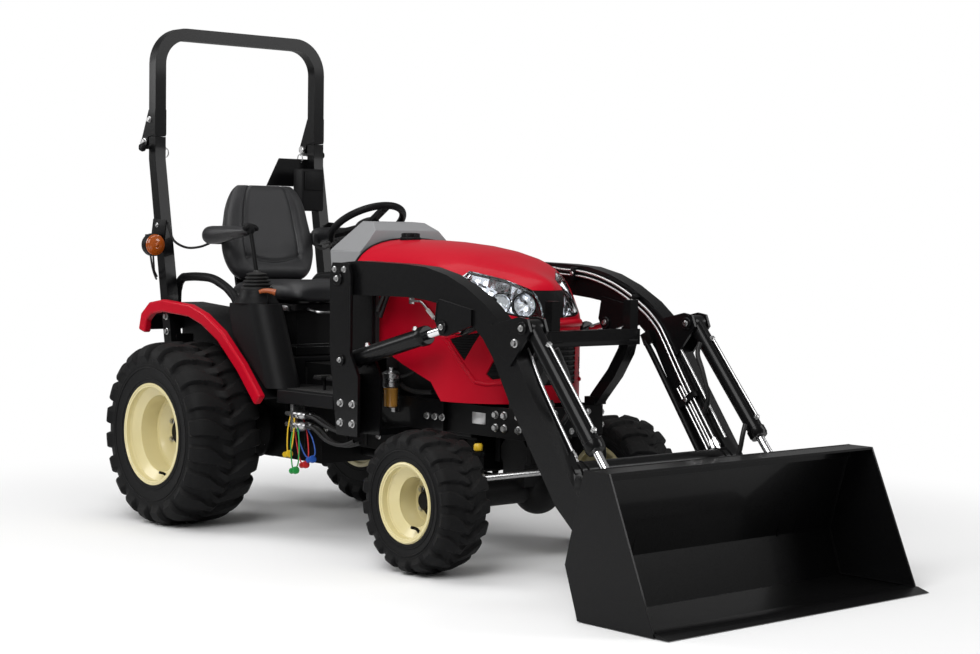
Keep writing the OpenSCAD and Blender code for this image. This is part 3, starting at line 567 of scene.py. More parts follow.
class TRACTOR_OT_finish_solids(bpy.types.Operator):
    """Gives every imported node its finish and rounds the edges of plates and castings"""

    bl_idname = "tractor.finish_solids"
    bl_label = "Finish the solids"

    def execute(self, context):
        look = context.scene.tractor_finish
        edge = context.scene.tractor_sizes.edge * 1000
        GROUPS.update(tint=tint_group(), grain=grain_group())
        paint_finishes(look)
        plastic_finishes(look)
        bright_finishes(look)
        for node, obj in NODES.items():
            obj.data.materials.clear()
            obj.data.materials.append(MATERIALS[SLOT_FINISH[NODE_SLOT[node]]])
        for node in NODES:
            if node == "dash_cowl":
                softened(node, 42, 7, 40, angle=16, cut=(at(DASH_BACK - 0.5, 0, 0), (1, 0, 0)))
            elif node not in MADE_ANEW:
                softened(node, *ROUNDING.get(node, (edge, 2, 0)))
        return {"FINISHED"}


# Hood

NOSE_X = 1588
HALF_W = 285
NOSE_LEN = 287


def hood_plan(t):
    """A point of the hood's side in plan, from the start of the nose to its tip."""
    u = 1 - t
    x = u ** 3 * (NOSE_X - NOSE_LEN) + 3 * u * u * t * (NOSE_X - 137)
    x += 3 * u * t * t * (NOSE_X - 6) + t ** 3 * NOSE_X
    return x, u ** 3 * HALF_W + 3 * u * u * t * HALF_W + 3 * u * t * t * (HALF_W - 99)


def share_where(test):
    """The share along the nose at which a test stops to hold."""
    low, high = 0.0, 1.0
    for _ in range(24):
        mid = (low + high) / 2
        low, high = (mid, high) if test(hood_plan(mid)) else (low, mid)
    return low


def hood_y(x, out=0.0):
    """Half the hood's width at x, pushed out by a little."""
    return hood_plan(share_where(lambda p: p[0] < x))[1] + out


def hood_x(y, out=0.0):
    """Where the hood's front stands at a distance y from the centre plane."""
    return hood_plan(share_where(lambda p: p[1] > abs(y)))[0] + out


def slats(batch, outline, step, radius, side):
    """Level bars across an opening in the hood's side. Its outline is measured from the nose's tip."""
    outline = [(NOSE_X + x, z) for x, z in outline]
    z = min(q[1] for q in outline) + step
    while z < max(q[1] for q in outline) - step / 2:
        hits = sorted(a[0] + (b[0] - a[0]) * (z - a[1]) / (b[1] - a[1])
                      for a, b in zip(outline, outline[1:] + outline[:1]) if (a[1] - z) * (b[1] - z) < 0)
        if len(hits) > 1 and hits[-1] - hits[0] > 12:
            first, last = hits[0] + 3, hits[-1] - 3
            xs = [first + (last - first) * k / 5 for k in range(6)]
            batch.tube([(x, side * hood_y(x, -2.5), z) for x in xs], radius, 6, 2)
        z += step


def grille_bars():
    """Bars of the front grille, and slats in the openings of both sides."""
    bars = Batch("grille_bars", "black_plastic", "bonnet")
    for k in range(10):
        z = 640 + 17.5 * k
        bars.tube([(hood_x(y, -1), y, z) for y in (-126, -80, -40, 0, 40, 80, 126)], 4.2, 8, 4)
    for y in (-84, -42, 0, 42, 84):
        bars.bar((hood_x(y, -5), y, 630), (hood_x(y, -5), y, 816), 3.0, 8)
    for side in SIDES:
        slats(bars, [(-231, 786), (-115, 815), (-171, 712)], 9, 2.2, side)
        slats(bars, [(-81, 725), (-103, 668), (-87, 650), (-56, 656), (-54, 718)], 9, 2.2, side)
    bars.done()


def hood_ribs():
    """Raised lines around the side openings, and the lip over the nose."""
    ribs = Batch("hood_ribs", "red_gloss", "bonnet")
    for side in SIDES:
        for line in ([(-262, 790), (-236, 772), (-196, 722), (-160, 676), (-134, 640)],
                     [(-134, 640), (-100, 634), (-60, 640)],
                     [(-262, 790), (-200, 806), (-120, 830), (-90, 834)]):
            path = [(NOSE_X + x, z) for x, z in spread(line, 6)]
            ribs.sweep([at(x, side * hood_y(x, -3.0), z) for x, z in path], 8.5, 12)
    ribs.sweep(curve([(hood_x(y, -4.0), y, 842) for y in range(-180, 181, 20)], 3), 14, 12)
    ribs.done(50)


def hood_latches():
    """Wire handles on both sides, with their white sleeves."""
    latch = Batch("hood_latches", "bright_steel", "bonnet")
    for side in SIDES:
        latch.tube(on_side(side, [(1150, 287, 917), (1154, 292, 912), (1190, 292, 911), (1217, 292, 907),
                                  (1262, 292, 874), (1290, 292, 852), (1294, 286, 848)]), 4.0, 10, 5)
        latch.prism([(1140, 900), (1168, 900), (1168, 926), (1140, 926)], side * 284, side * 288, 1.2)
    latch.done()
    sleeve = Batch("latch_sleeves", "white_plastic", "bonnet")
    for side in SIDES:
        sleeve.bar((1250, side * 292, 883), (1286, side * 292, 855), 7.0)
    sleeve.done()


def fuel_cap():
    """A cap with six finger grips, at the hood's rear."""
    cap = Batch("fuel_cap", "black_plastic", "bonnet")
    x, y, z = 846, -46, 1126
    cap.lathe((x, y, z), UP, [(40, -4), (40, 6), (37, 9), (30, 10), (30, 22), (27, 25), (0, 26)], 40)
    for a in ring(6):
        grip = (x + 27 * math.cos(a), y + 27 * math.sin(a), z + 6)
        cap.lathe(grip, UP, [(8, 0), (8, 15), (6, 18), (0, 18)], 14)
    cap.done()


def hood_seal():
    """The seal between hood and dash cowl."""
    seal = Batch("hood_seal", "black_plastic", "bonnet")
    arch = [math.pi / 2 * k / 8 for k in range(1, 9)]
    right = [(799, -HALF_W * math.cos(a) ** 0.8, 958 + 170 * math.sin(a) ** 0.8) for a in arch]
    seal.tube(right + on_side(-1, reversed(right[:-1])), 5.0, 8, 3)
    seal.done()


class TRACTOR_OT_hood(bpy.types.Operator):
    """Adds the hood's grille bars, ribs, latch handles, fuel cap and seal"""

    bl_idname = "tractor.hood"
    bl_label = "Hood fittings"

    def execute(self, context):
        grille_bars()
        hood_ribs()
        hood_latches()
        fuel_cap()
        hood_seal()
        return {"FINISHED"}


# Edges of a headlamp on the hood's skin: along its foot from the nose panel, and along its top
LAMP_FOOT = [(1584, 45, 857), (1560, 126, 863), (1520, 183, 878), (1454, 210, 939), (1372, 248, 997)]
LAMP_TOP = [(1554, 69, 957), (1512, 94, 976), (1465, 118, 994), (1420, 160, 1010), (1375, 203, 1023)]

# A lamp's bowl: its place on the skin, the skin's direction there, the way that it looks, its radius
LAMP_BOWLS = (((1557, 105, 914), (0.83, 0.44, 0.33), (0.94, 0.3, 0.12), 40),
              ((1500, 172, 925), (0.61, 0.58, 0.54), (0.8, 0.55, 0.22), 33))
LAMP_DEPTH = Vector((0.85, 0.42, 0.3))


def along(line, share):
    """A point at a share of the way along a line of points."""
    t = share * (len(line) - 1)
    i = min(int(t), len(line) - 2)
    return Vector(line[i]).lerp(Vector(line[i + 1]), t - i)


def lamp_back(bowl, flip):
    """A bright faceted dish behind the whole lens."""
    rows = []
    for k in range(21):
        foot, top = along(LAMP_FOOT, k / 20), along(LAMP_TOP, k / 20)
        deep = [15 + 46 * math.sin(math.pi * m / 10) + 4 * (k % 2) for m in range(11)]
        rows.append([at(*((foot.lerp(top, m / 10) - LAMP_DEPTH * deep[m]) * flip)) for m in range(11)])
    for a, b in zip(rows, rows[1:]):
        for m in range(10):
            bowl.bm.faces.new([bowl.bm.verts.new(p) for p in (a[m], a[m + 1], b[m + 1], b[m])])


class TRACTOR_OT_lamps(bpy.types.Operator):
    """Adds reflectors, bulbs and housings behind the clear headlamp lenses"""

    bl_idname = "tractor.lamps"
    bl_label = "Headlamp insides"

    def execute(self, context):
        bowl = Batch("lamp_reflectors", "reflector", "bonnet")
        bulb = Batch("lamp_bulbs", "bulb", "bonnet")
        trim = Batch("lamp_housings", "black_gloss", "bonnet", "black_plastic")
        for side in SIDES:
            flip = Vector((1, side, 1))
            for skin, out, way, r in LAMP_BOWLS:
                axis = (Vector(way) * flip).normalized()
                base = Vector(skin) * flip - Vector(out) * flip * 27 - axis * 36
                bowl.lathe(base, axis, [(8, 0), (r * 0.4, 2), (r * 0.65, 8), (r * 0.88, 20), (r, 36)], 40)
                bulb.lathe(base + axis * 3, axis, [(7, 0), (7, 14), (5, 19), (0, 21)], 16)
                trim.lathe(base, axis, [(r + 4, 22), (r + 4, 37), (r, 38), (r, 35)], 40)
            lamp_back(bowl, flip)
            for line, inset, thick in ((LAMP_TOP, (8, 4, 12), 5), (LAMP_FOOT, (11, 5, -4), 4)):
                edge = [along(line, k / 10) - Vector(inset) for k in range(11)]
                trim.sweep([at(*(p * flip)) for p in edge], thick, 8)
        bmesh.ops.remove_doubles(bowl.bm, verts=bowl.bm.verts, dist=1e-5)
        bowl.done(12)
        bulb.done()
        trim.done()
        return {"FINISHED"}


# Wheels

# x and y are a wheel's middle, r its radius, half half its width, seat its bead's radius and lug a lug's
# height. Its bolts stand on a face at a distance from the centre plane, on a circle, around a cap that
# rises from that face, and stem is the valve's depth in the rim.
Wheel = namedtuple("Wheel", "end x y r half seat lugs lug face rise bolts circle cap stem")
WHEELS = (
    Wheel("rear", x=0, y=507, r=357, half=153, seat=191, lugs=20, lug=17, face=497, rise=8,
          bolts=8, circle=92, cap=50, stem=18),
    Wheel("front", x=1450, y=456, r=245, half=103, seat=130, lugs=18, lug=13, face=426, rise=20,
          bolts=6, circle=64, cap=32, stem=26))
LUG_STEPS = 24
LUG_SWEEP = 0.5
VALVE_ANGLE = math.radians(-72)

# The rear rim's dish, from its lip to its hub, as radius and distance out from the wheel's middle
REAR_DISH = [(200, 139), (198, 143), (192, 143), (185, 135), (180, 108), (174, 84), (171, 78), (167, 76),
             (160, 75), (156, 68), (152, 28), (149, 21), (145, 19), (138, 18), (130, 9), (114, -6),
             (100, -10), (54, -10)]


def tyre_line(w):
    """A tyre's section under its lugs, from bead to bead, as radius and distance from the middle."""
    wall = w.r - w.seat
    root = w.r - w.lug
    points = [(w.seat + 8, w.half - 18), (w.seat + 8, w.half - 12), (w.seat + 14, w.half - 10),
              (w.seat + 22, w.half - 12), (w.seat + wall * 0.26, w.half - 11),
              (w.seat + wall * 0.42, w.half - 7), (w.seat + wall * 0.6, w.half - 9),
              (w.seat + wall * 0.76, w.half - 18), (root - 9, w.half - 36), (root - 2, w.half - 64),
              (root - 0.5, w.half * 0.3), (root - 0.5, 0)]
    line = [(p.z * 1000, p.y * 1000) for p in curve([(0, wide, radius) for radius, wide in points], 3)]
    return line + [(radius, -wide) for radius, wide in line[-2::-1]]


def tread(share, out, edge):
    """Height of the tread, from 0 to 1, at a share of a pitch around and a share of the half width out."""
    height = 0.0
    for way, start in ((1, 0.0), (-1, 0.5)):
        off = abs((share - start + 0.5) % 1 - 0.5)
        half_lug = 0.15 + 0.15 * step_at(out * way, 0.05, 0.7)
        bar = 1 - step_at(off, half_lug - edge, half_lug + edge)
        height = max(height, bar * step_at(out * way, -0.14, -0.04))
    return height


def tyre(w, node, side, lug_edge):
    """A tyre with broad lugs in chevrons and round shoulders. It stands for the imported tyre."""
    skin = Batch(node + "_skin", "tyre_rubber", NODE_BODY[node])
    line = tyre_line(w)
    edge = lug_edge * w.lugs / (2 * math.pi * w.r)
    wall = w.r - w.seat
    rows = []
    for i, (radius, wide) in enumerate(line):
        before, after = line[max(i - 1, 0)], line[min(i + 1, len(line) - 1)]
        run = Vector((after[0] - before[0], after[1] - before[1])).normalized()
        out = wide / w.half
        lean = LUG_SWEEP * step_at(abs(out), -0.3, 0.8)
        reach = w.lug * step_at(radius, w.seat + wall * 0.55, w.seat + wall * 0.67)
        row = []
        for k in range(w.lugs * LUG_STEPS):
            height = reach * tread(k / LUG_STEPS, out, edge)
            angle = 2 * math.pi * (k / LUG_STEPS - lean) / w.lugs
            far = radius - run.y * height
            row.append(at(w.x + far * math.cos(angle), side * (w.y + wide + run.x * height),
                          w.r - far * math.sin(angle)))
        rows.append(row)
    skin.skin(rows)
    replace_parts(skin.done(44), node)


def wheel_bolts(w, body, side):
    """Bolts in a circle around the hub."""
    nuts = Batch(body + "_bolts", "bright_steel", body)
    for k, a in enumerate(ring(w.bolts, math.pi / w.bolts)):
        place = (w.x + w.circle * math.cos(a), side * w.face, w.r + w.circle * math.sin(a))
        nuts.bolt(place, (0, side, 0), 17, 10, k)
    nuts.done()


def hub_cap(w, body, side):
    """The stepped hub inside the bolts."""
    hub = Batch(body + "_hub", "black_satin", body)
    hub.lathe((w.x, side * (w.face - 1), w.r), (0, side, 0), [
        (w.cap + 26, 0), (w.cap + 26, 3), (w.cap + 8, 5), (w.cap + 8, w.rise + 3), (w.cap, w.rise + 6),
        (w.cap, w.rise + 16), (w.cap - 6, w.rise + 22), (0, w.rise + 23)], 40)
    hub.done()


def valve(w, body, side):
    """The bent valve stem low in the rim."""
    stem = Batch(body + "_valve", "black_plastic", body)
    points = []
    for up, deep in ((4, 52), (-12, 44), (-20, 22)):
        radius = w.seat - w.stem + up
        points.append((w.x + math.cos(VALVE_ANGLE) * radius, side * (w.y + w.half - deep),
                       w.r + math.sin(VALVE_ANGLE) * radius))
    stem.tube(points, 5.5, 10, 5)
    stem.done()


def sidewall_rings(w, body, side):
    """Raised rings on both faces of the tyre."""
    rings = Batch(body + "_sidewall", "tyre_rubber", body)
    wall = w.r - w.seat
    for radius, out, thick in ((w.seat + 24, w.half - 12, 2.4), (w.seat + wall * 0.41, w.half - 7, 3.0),
                               (w.seat + wall * 0.48, w.half - 7.5, 1.8)):
        for face in SIDES:
            rings.hoop(w.x, side * (w.y + face * out), w.r, radius, thick)
    rings.done()


def rim_steps(w, body, side):
    """A rear rim's stepped dish, or the rolled edges of a front rim."""
    rolls = Batch(body + "_rim_rolls", "cream_paint", body)
    if w.end == "rear":
        rolls.lathe((w.x, side * w.y, w.r), (0, side, 0), REAR_DISH, 72)
    else:
        for deep, radius, thick in ((12, w.seat + 2, 5.0), (38, w.seat - 8, 4.0), (60, w.seat - 42, 3.0)):
            rolls.hoop(w.x, side * (w.y + w.half - deep), w.r, radius, thick)
    rolls.done()


class TRACTOR_OT_wheels(bpy.types.Operator):
    """Makes the tyres, and adds wheel bolts, hub caps, valves and rim steps"""

    bl_idname = "tractor.wheels"
    bl_label = "Tyres and wheel fittings"

    def execute(self, context):
        lug_edge = context.scene.tractor_sizes.lug_edge * 1000
        for w in WHEELS:
            for label, side in (("right", -1), ("left", 1)):
                body = f"{w.end}_wheel_{label}"
                tyre(w, f"{w.end}_tyre_{label}", side, lug_edge)
                for fitting in (wheel_bolts, hub_cap, valve, sidewall_rings, rim_steps):
                    fitting(w, body, side)
        return {"FINISHED"}


# Seat

# How a pad is shaped: half width, thickness and spine along it, its facing direction, and relief on its front
Pad = namedtuple("Pad", "width thick spine normal detail")
PAD_ACROSS = 44
PAD_ALONG = 64
SEAM_STEPS = 40


def rounded(t, power):
    """How wide a pad is at a share t of its length, with rounded ends."""
    return max(0.0, 1 - abs(2 * t - 1) ** power) ** (1 / power)


def pad_point(shape, u, v, front):
    """A point on a pad. u runs across from -1 to 1 and v along from 0 to 1, on its front or back face."""
    edge = max(0.0, 1 - abs(u) ** 5.0) ** (1 / 2.6)
    thick = shape.thick(v) * edge
    push = thick + shape.detail(u, v) * edge if front else -thick * 0.75
    x, z = shape.spine(v)
    return Vector((x + shape.normal[0] * push, u * shape.width(v), z + shape.normal[1] * push))


def pad(name, shape, seams):
    """A stuffed pad with its seams pressed in and piping along them."""
    body = Batch(name, "seat_vinyl", "chassis")
    rows = []
    for j in range(PAD_ALONG + 1):
        v = 0.5 - 0.5 * math.cos(math.pi * j / PAD_ALONG)
        across = [math.sin(math.pi / 2 * (2 * i / PAD_ACROSS - 1)) for i in range(PAD_ACROSS + 1)]
        row = [pad_point(shape, u, v, True) for u in across]
        row += [pad_point(shape, -u, v, False) for u in across[1:-1]]
        rows.append([at(*q) for q in row])
    body.skin(rows)
    for end in (rows[0], rows[-1]):
        body.bm.faces.new([body.bm.verts.new(p) for p in end])
    bmesh.ops.remove_doubles(body.bm, verts=body.bm.verts, dist=1e-4)
    obj = body.done(70)
    piping = Batch(name + "_piping", "seat_piping", "chassis")
    for seam in seams:
        piping.sweep([at(*pad_point(shape, u, v, True)) for u, v in seam], 3.2, 8)
    piping.done()
    return obj


def seat_back():
    """The back, with raised sides, a lumbar roll and a curved cross seam."""

    def relief(u, v):
        smile = 0.17 + 0.07 * (u / 0.62) ** 2
        raised = 12 * step_at(abs(u), 0.58, 0.72) * step_at(v, 0.12, 0.3) * step_at(1 - v, 0.02, 0.2)
        groove = -7 * bump_at(abs(u), 0.6, 0.03) * step_at(v, 0.15, 0.25)
        cross = -8 * bump_at(v, smile, 0.018) * step_at(0.66 - abs(u), 0, 0.04)
        lumbar = 12 * bump_at(v, 0.08, 0.09) + 8 * bump_at(v, 0.36, 0.16) * (1 - abs(u))
        return raised + groove + cross + lumbar

    def width(v):
        return (190 + 32 * bump_at(v, 0.34, 0.34) - 14 * step_at(v, 0.7, 1)) * rounded(v * 0.94 + 0.03, 4.6)

    shape = Pad(width, lambda v: (40 - 14 * v) * rounded(v, 3.4) ** 0.8,
                lambda v: (-124 - 62 * v - 12 * math.sin(math.pi * v), 950 + 388 * v), (0.975, 0.22), relief)
    steps = [k / SEAM_STEPS for k in range(SEAM_STEPS + 1)]
    seams = [[(side * 0.6, 0.21 + 0.71 * s) for s in steps] for side in SIDES]
    seams.append([(0.62 * (2 * s - 1), 0.17 + 0.07 * (2 * s - 1) ** 2) for s in steps])
    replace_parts(pad("seat_back_pad", shape, seams), "seat_back")


def seat_cushion():
    """The cushion, with raised sides and a cross seam behind its front roll."""

    def relief(u, v):
        raised = 9 * step_at(abs(u), 0.6, 0.75) * step_at(v, 0.05, 0.2) * step_at(1 - v, 0.08, 0.24)
        groove = -7 * bump_at(abs(u), 0.62, 0.03) * step_at(1 - v, 0.1, 0.2)
        cross = -7 * bump_at(v, 0.82, 0.016) * step_at(0.66 - abs(u), 0, 0.04)
        return raised + groove + cross + 8 * bump_at(v, 0.9, 0.08)

    def spine(v):
        return -116 + 466 * v, 908 + 4 * math.sin(math.pi * v) - 6 * step_at(v, 0.85, 1)

    shape = Pad(lambda v: (222 + 4 * bump_at(v, 0.5, 0.4)) * rounded(v * 0.96 + 0.02, 7),
                lambda v: (44 + 6 * bump_at(v, 0.8, 0.2)) * rounded(v, 4.5), spine, (0, 1), relief)
    steps = [k / SEAM_STEPS for k in range(SEAM_STEPS + 1)]
    seams = [[(side * 0.62, 0.06 + 0.76 * s) for s in steps] for side in SIDES]
    seams.append([(0.62 * (2 * s - 1), 0.82) for s in steps])
    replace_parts(pad("seat_cushion_pad", shape, seams), "seat_cushion")


class TRACTOR_OT_seat(bpy.types.Operator):
    """Models the seat's back and cushion as stuffed pads with seams and piping"""

    bl_idname = "tractor.seat"
    bl_label = "Seat"

    def execute(self, context):
        seat_back()
        seat_cushion()
        return {"FINISHED"}


# Driver's place

def loader_lever():
    """Boot, stick, grip and collar of the loader's lever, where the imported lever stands."""
    low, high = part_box("joystick")
    x = (high.x - AXLE_X) * 1000 - 56
    y = (low.y + high.y) / 2 * 1000
    z = low.z * 1000
    boot = Batch("lever_bellows", "rubber", "chassis")
    profile = [(62, -2), (62, 8)]
    for k in range(4):
        r = 58 - 6 * k
        profile += [(r - 9, 11 + 13 * k), (r, 17 + 13 * k), (r, 20 + 13 * k), (r - 9, 24 + 13 * k)]
    boot.lathe((x, y, z), UP, profile + [(15, 66), (12, 74), (0, 74)], 40)
    boot.done(60)
    stick = Batch("lever_stick", "black_satin", "chassis")
    stick.tube([(x - 4, y, z + 66), (x - 22, y, z + 140), (x - 46, y, z + 226)], 8, 12, 6)
    stick.done()
    grip = Batch("lever_grip", "black_plastic", "chassis")
    grip.lathe((x - 47, y, z + 214), (-0.2, 0, 1), [(14, 0), (19, 8), (20, 22), (16, 34), (0, 38)], 24)
    grip.sweep(curve([(x - 40, y - 34, z + 232), (x - 50, y - 6, z + 240), (x - 44, y + 34, z + 232)], 8),
               lambda s: 15 - 9 * abs(2 * s - 1) ** 3, 16)
    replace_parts(grip.done(60), "joystick")
    collar = Batch("lever_collar", "black_plastic", "chassis")
    flare = [(86, -56), (88, -53), (86, -49), (78, -40), (70, -26), (65, -10), (63, 0), (58, 3)]
    collar.lathe((x, y, z), UP, flare, 40)
    collar.done(60)


def small_levers():
    """Levers at the console, on the column and beside the seat, with their knobs."""
    orange = Batch("orange_knobs", "amber_plastic", "chassis")
    orange.sweep(curve([(350, -386, 918), (362, -372, 923), (376, -354, 922), (390, -338, 917)], 6),
                 lambda s: 7 + 5 * s, 14)
    orange.sweep(curve([(528, 172, 1118), (508, 200, 1126), (486, 228, 1132)], 6), lambda s: 8 + 4 * s, 14)
    orange.done(60)
    levers = Batch("small_levers", "black_satin", "chassis")
    for route, radius in (([(372, -360, 918), (370, -358, 894), (366, -356, 866)], 5),
                          ([(604, 40, 1086), (570, 110, 1100), (528, 172, 1118)], 5),
                          ([(610, -50, 1080), (580, -120, 1088), (556, -168, 1098)], 5),
                          ([(250, 292, 660), (246, 300, 790), (262, 305, 870)], 7),
                          ([(180, 282, 660), (178, 292, 760), (196, 296, 820)], 6)):
        levers.tube(route, radius, 10, 5)
    levers.done()
    knobs = Batch("lever_knobs", "black_plastic", "chassis")
    for place in ((262, 305, 878), (196, 296, 826), (552, -174, 1100)):
        knobs.lathe(place, UP, [(7, -16), (15, -6), (17, 4), (13, 14), (0, 18)], 20)
    knobs.done(60)


def steering_cap():
    """The round cap on the steering wheel's hub."""
    cap = Batch("wheel_cap", "black_plastic", "hand_wheel")
    tilt = math.radians(-32)
    axis = (math.sin(tilt), 0, math.cos(tilt))
    cap.lathe((520, 0, 1178), axis, [(50, -6), (50, 6), (44, 12), (30, 15), (0, 17)], 40)
    cap.done(60)


def floor_pads():
    """Ribs on the pedals and on both foot boards."""
    pads = Batch("pedal_pads", "rubber", "chassis")
    for x in (640, 720):
        for k in range(5):
            pads.block((x + 3 + 9.5 * k, x + 9 + 9.5 * k), (-338, -272), (611, 616), 1)
    for k in range(5):
        pads.block((693 + 11 * k, 700 + 11 * k), (262, 328), (631, 636), 1)
    for side in SIDES:
        for k in range(14):
            pads.block((505, 825), span(side, 168 + 15 * k, 176 + 15 * k), (555.5, 560), 1)
    pads.done()


def dash_panel():
    """Instrument panel with its blank dial and switches, facing the driver."""
    panel = Batch("dash_panel", "black_plastic", "chassis")
    facing = (-0.9, 0, 0.4)
    panel.prism([(-120, 1110), (120, 1110), (92, 1172), (-92, 1172)], 594, 600, 2, "yz")
    panel.lathe((600, 0, 1142), facing, [(44, 0), (44, 8), (40, 10), (0, 9)], 40)
    for y in (-92, -70, 70, 92):
        panel.lathe((598, y, 1122), facing, [(9, 0), (9, 8), (7, 12), (0, 12)], 16)
    panel.done()


def armrests():
    """Padded armrests on their brackets, and the grab rails over the fenders."""
    rests = Batch("armrest_pads", "seat_vinyl", "chassis")
    rails = Batch("grab_rails", "black_plastic", "chassis")
    for side in SIDES:
        line = spread([(-212, 1130), (-120, 1134), (20, 1145), (112, 1150)], 8)
        rests.sweep([at(x, side * 271, z) for x, z in line],
                    lambda s: (37 - 19 * step_at(s, 0.2, 1)) * max(0.0, 1 - abs(2 * s - 1) ** 9) ** 0.5, 24,
                    squeeze=lambda s: 0.75 + 0.75 * step_at(s, 0.2, 1))
        rests.block((-190, -140), span(side, 222, 262), (1095, 1146), 8, 3)
        rail = [(-305, 846), (-301, 905), (-289, 934), (-262, 956), (-240, 960), (-150, 964),
                (-40, 958), (60, 925), (118, 888), (146, 838), (158, 758), (162, 716)]
        rails.tube([(x, side * 342, z) for x, z in rail], 17.5, 16, 6)
    pads = rests.done(60)
    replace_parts(pads, "armrests")
    rails.done(60)


def seat_slides():
    """Rails under the seat, and the bar that lets it slide."""
    under = Batch("seat_slides", "bright_steel", "chassis")
    for side in SIDES:
        under.block((-110, 250), span(side, 172, 184), (838, 858), 1.5)
    left = [(366, 60, 834), (352, 110, 836), (300, 120, 846)]
    under.tube(on_side(-1, reversed(left)) + left, 6, 10, 5)
    under.done()


class TRACTOR_OT_controls(bpy.types.Operator):
    """Adds levers, the wheel's cap, pedal and floor ribs, dash panel, armrests, grab rails and seat slides"""

    bl_idname = "tractor.controls"
    bl_label = "Controls"

    def execute(self, context):
        loader_lever()
        small_levers()
        steering_cap()
        floor_pads()
        dash_panel()
        armrests()
        seat_slides()
        return {"FINISHED"}


# Loader

LIFT_BASE, LIFT_EYE = (950, 694), (1495, 836)
CURL_BASE, CURL_EYE = (1895, 850), (2280, 380)
BUCKET_PIVOT = (2205, 212)
CYLINDER_Y = 386
ARM_TOP = [(1180, 1047), (1272, 1044), (1390, 1036), (1500, 1012), (1600, 974), (1703, 918), (1768, 868),
           (1815, 812), (1914, 662), (2060, 462)]
BOOM_HOSES = (
    [(2082, 336, 414), (2110, 332, 380), (2146, 326, 392), (2166, 324, 436), (2172, 330, 486),
     (2168, 346, 520)],
    [(1990, 336, 546), (2016, 326, 600), (1996, 318, 690), (1968, 322, 748), (1962, 340, 786)],
    [(1120, 345, 980), (1092, 344, 960), (1062, 346, 916), (1036, 346, 872)],
    [(1120, 345, 962), (1088, 336, 940), (1056, 330, 900), (1030, 330, 850)])
HOSE_END = [(8, 0), (10, 2), (10, 16), (12, 16), (12, 32), (9, 32), (9, 46), (0, 46)]


def along_arm(lift, y):
    """The arm's top line, moved off the plate by a lift, at a distance y."""
    got = []
    for i, p in enumerate(ARM_TOP):
        a, b = Vector(ARM_TOP[max(i - 1, 0)]), Vector(ARM_TOP[min(i + 1, len(ARM_TOP) - 1)])
        d = (b - a).normalized()
        got.append((p[0] - d.y * lift, y, p[1] + d.x * lift))
    return got


def pipe_clamp(clamps, ends, side, k, deep):
    """A clamp over the pipes, just past a point of the arm, with its bolt."""
    p, q = (Vector((x, z)) for x, _, z in along_arm(-deep / 2 - 6, 0)[k:k + 2])
    d = (q - p).normalized()
    c = p + d * 60
    n = Vector((-d.y, d.x)) * (deep / 2)
    corners = [c - d * 11 - n, c + d * 11 - n, c + d * 11 + n, c - d * 11 + n]
    clamps.prism([(v.x, v.y) for v in corners], *span(side, 328, 353), 2.5)
    ends.bolt((c.x, side * 328, c.y), (0, -side, 0), 11, 6)


def arm_fittings():
    """Pipes, clamps, hoses and pins along both arms."""
    pipes = Batch("loader_pipes", "bright_steel", "boom")
    clamps = Batch("pipe_clamps", "black_satin", "boom")
    hoses = Batch("boom_hoses", "rubber", "boom")
    ends = Batch("hose_ends", "bright_steel", "boom")
    heads = Batch("boom_pins", "black_gloss", "boom")
    for side in SIDES:
        for depth in (20, 38):
            line = along_arm(-depth, side * 338)
            pipes.tube([(1120, side * 345, 1000 - depth)] + line, 4.6, 10, 6)
            x, y, z = line[-1]
            ends.lathe((x - 10, y, z + 14), (0.59, 0, -0.81), HOSE_END, 6)
        for depth in (56, 72):
            pipes.tube(along_arm(-depth, side * 344)[8:], 5.0, 10, 6)
        pipes.tube([(1842, side * 352, 782)] + along_arm(7, side * 362)[8:], 5.0, 10, 6)
        for k, deep in ((1, 48), (4, 48), (8, 84)):
            pipe_clamp(clamps, ends, side, k, deep)
        for route in BOOM_HOSES:
            hoses.tube(on_side(side, route), 8.5, 12, 8)
        for x, z in (LIFT_EYE, CURL_BASE):
            for y, way in ((427, side), (345, -side)):
                heads.pin((x, side * y, z), (0, way, 0), 21, 8)
                ends.bolt((x, side * y + way * 8, z), (0, way, 0), 14, 8)
        ends.bolt((1859, side * 427, 800), (0, side, 0), 19, 12)
    for batch in (pipes, clamps, hoses, ends, heads):
        batch.done()


def boom_welds():
    """Beads at the lift eye, at the knee plates and around the cross tube's ends."""
    welds = Batch("boom_welds", "black_gloss", "boom")
    for side in SIDES:
        welds.bead(on_side(side, [(1466, 427, 920), (1456, 427, 852)]), 3.2)
        welds.bead(on_side(side, [(1737, 419, 858), (1762, 419, 778), (1832, 419, 728)]), 3.2)
        for y in (355, 324):
            angles = ring(12) + [2 * math.pi]
            welds.bead([(2065 + 46 * math.cos(a), side * y, 385 + 46 * math.sin(a)) for a in angles], 3.0)
    welds.done()


def tower_fittings():
    """Pins, bolts and welds of the loader's towers."""
    nuts = Batch("tower_fittings", "bright_steel", "chassis")
    caps = Batch("tower_pins", "black_gloss", "chassis")
    for side in SIDES:
        out = (0, side, 0)
        for (x, z), radius, across, height in ((BOOM_PIVOT, 25, 15, 9), (LIFT_BASE, 20, 13, 8)):
            caps.pin((x, side * 442, z), out, radius, 8)
            nuts.bolt((x, side * 450, z), out, across, height)
        for x in (906, 962):
            nuts.bolt((x, side * 442, 1018), out, 15, 9)
        for x in (950, 1020):
            for z in (470, 540):
                nuts.bolt((x, side * 442, z), out, 19, 12)
        for x in (1160, 1204, 1246):
            nuts.bolt((x, side * 214, 500), out, 17, 11)
    nuts.done()
    caps.done()
    beads = Batch("tower_welds", "black_gloss", "chassis")
    for side in SIDES:
        for y in (332, 440):
            beads.bead(on_side(side, [(1000, y, 960), (1000, y, 740)]), 3.4, 7)
    beads.done()


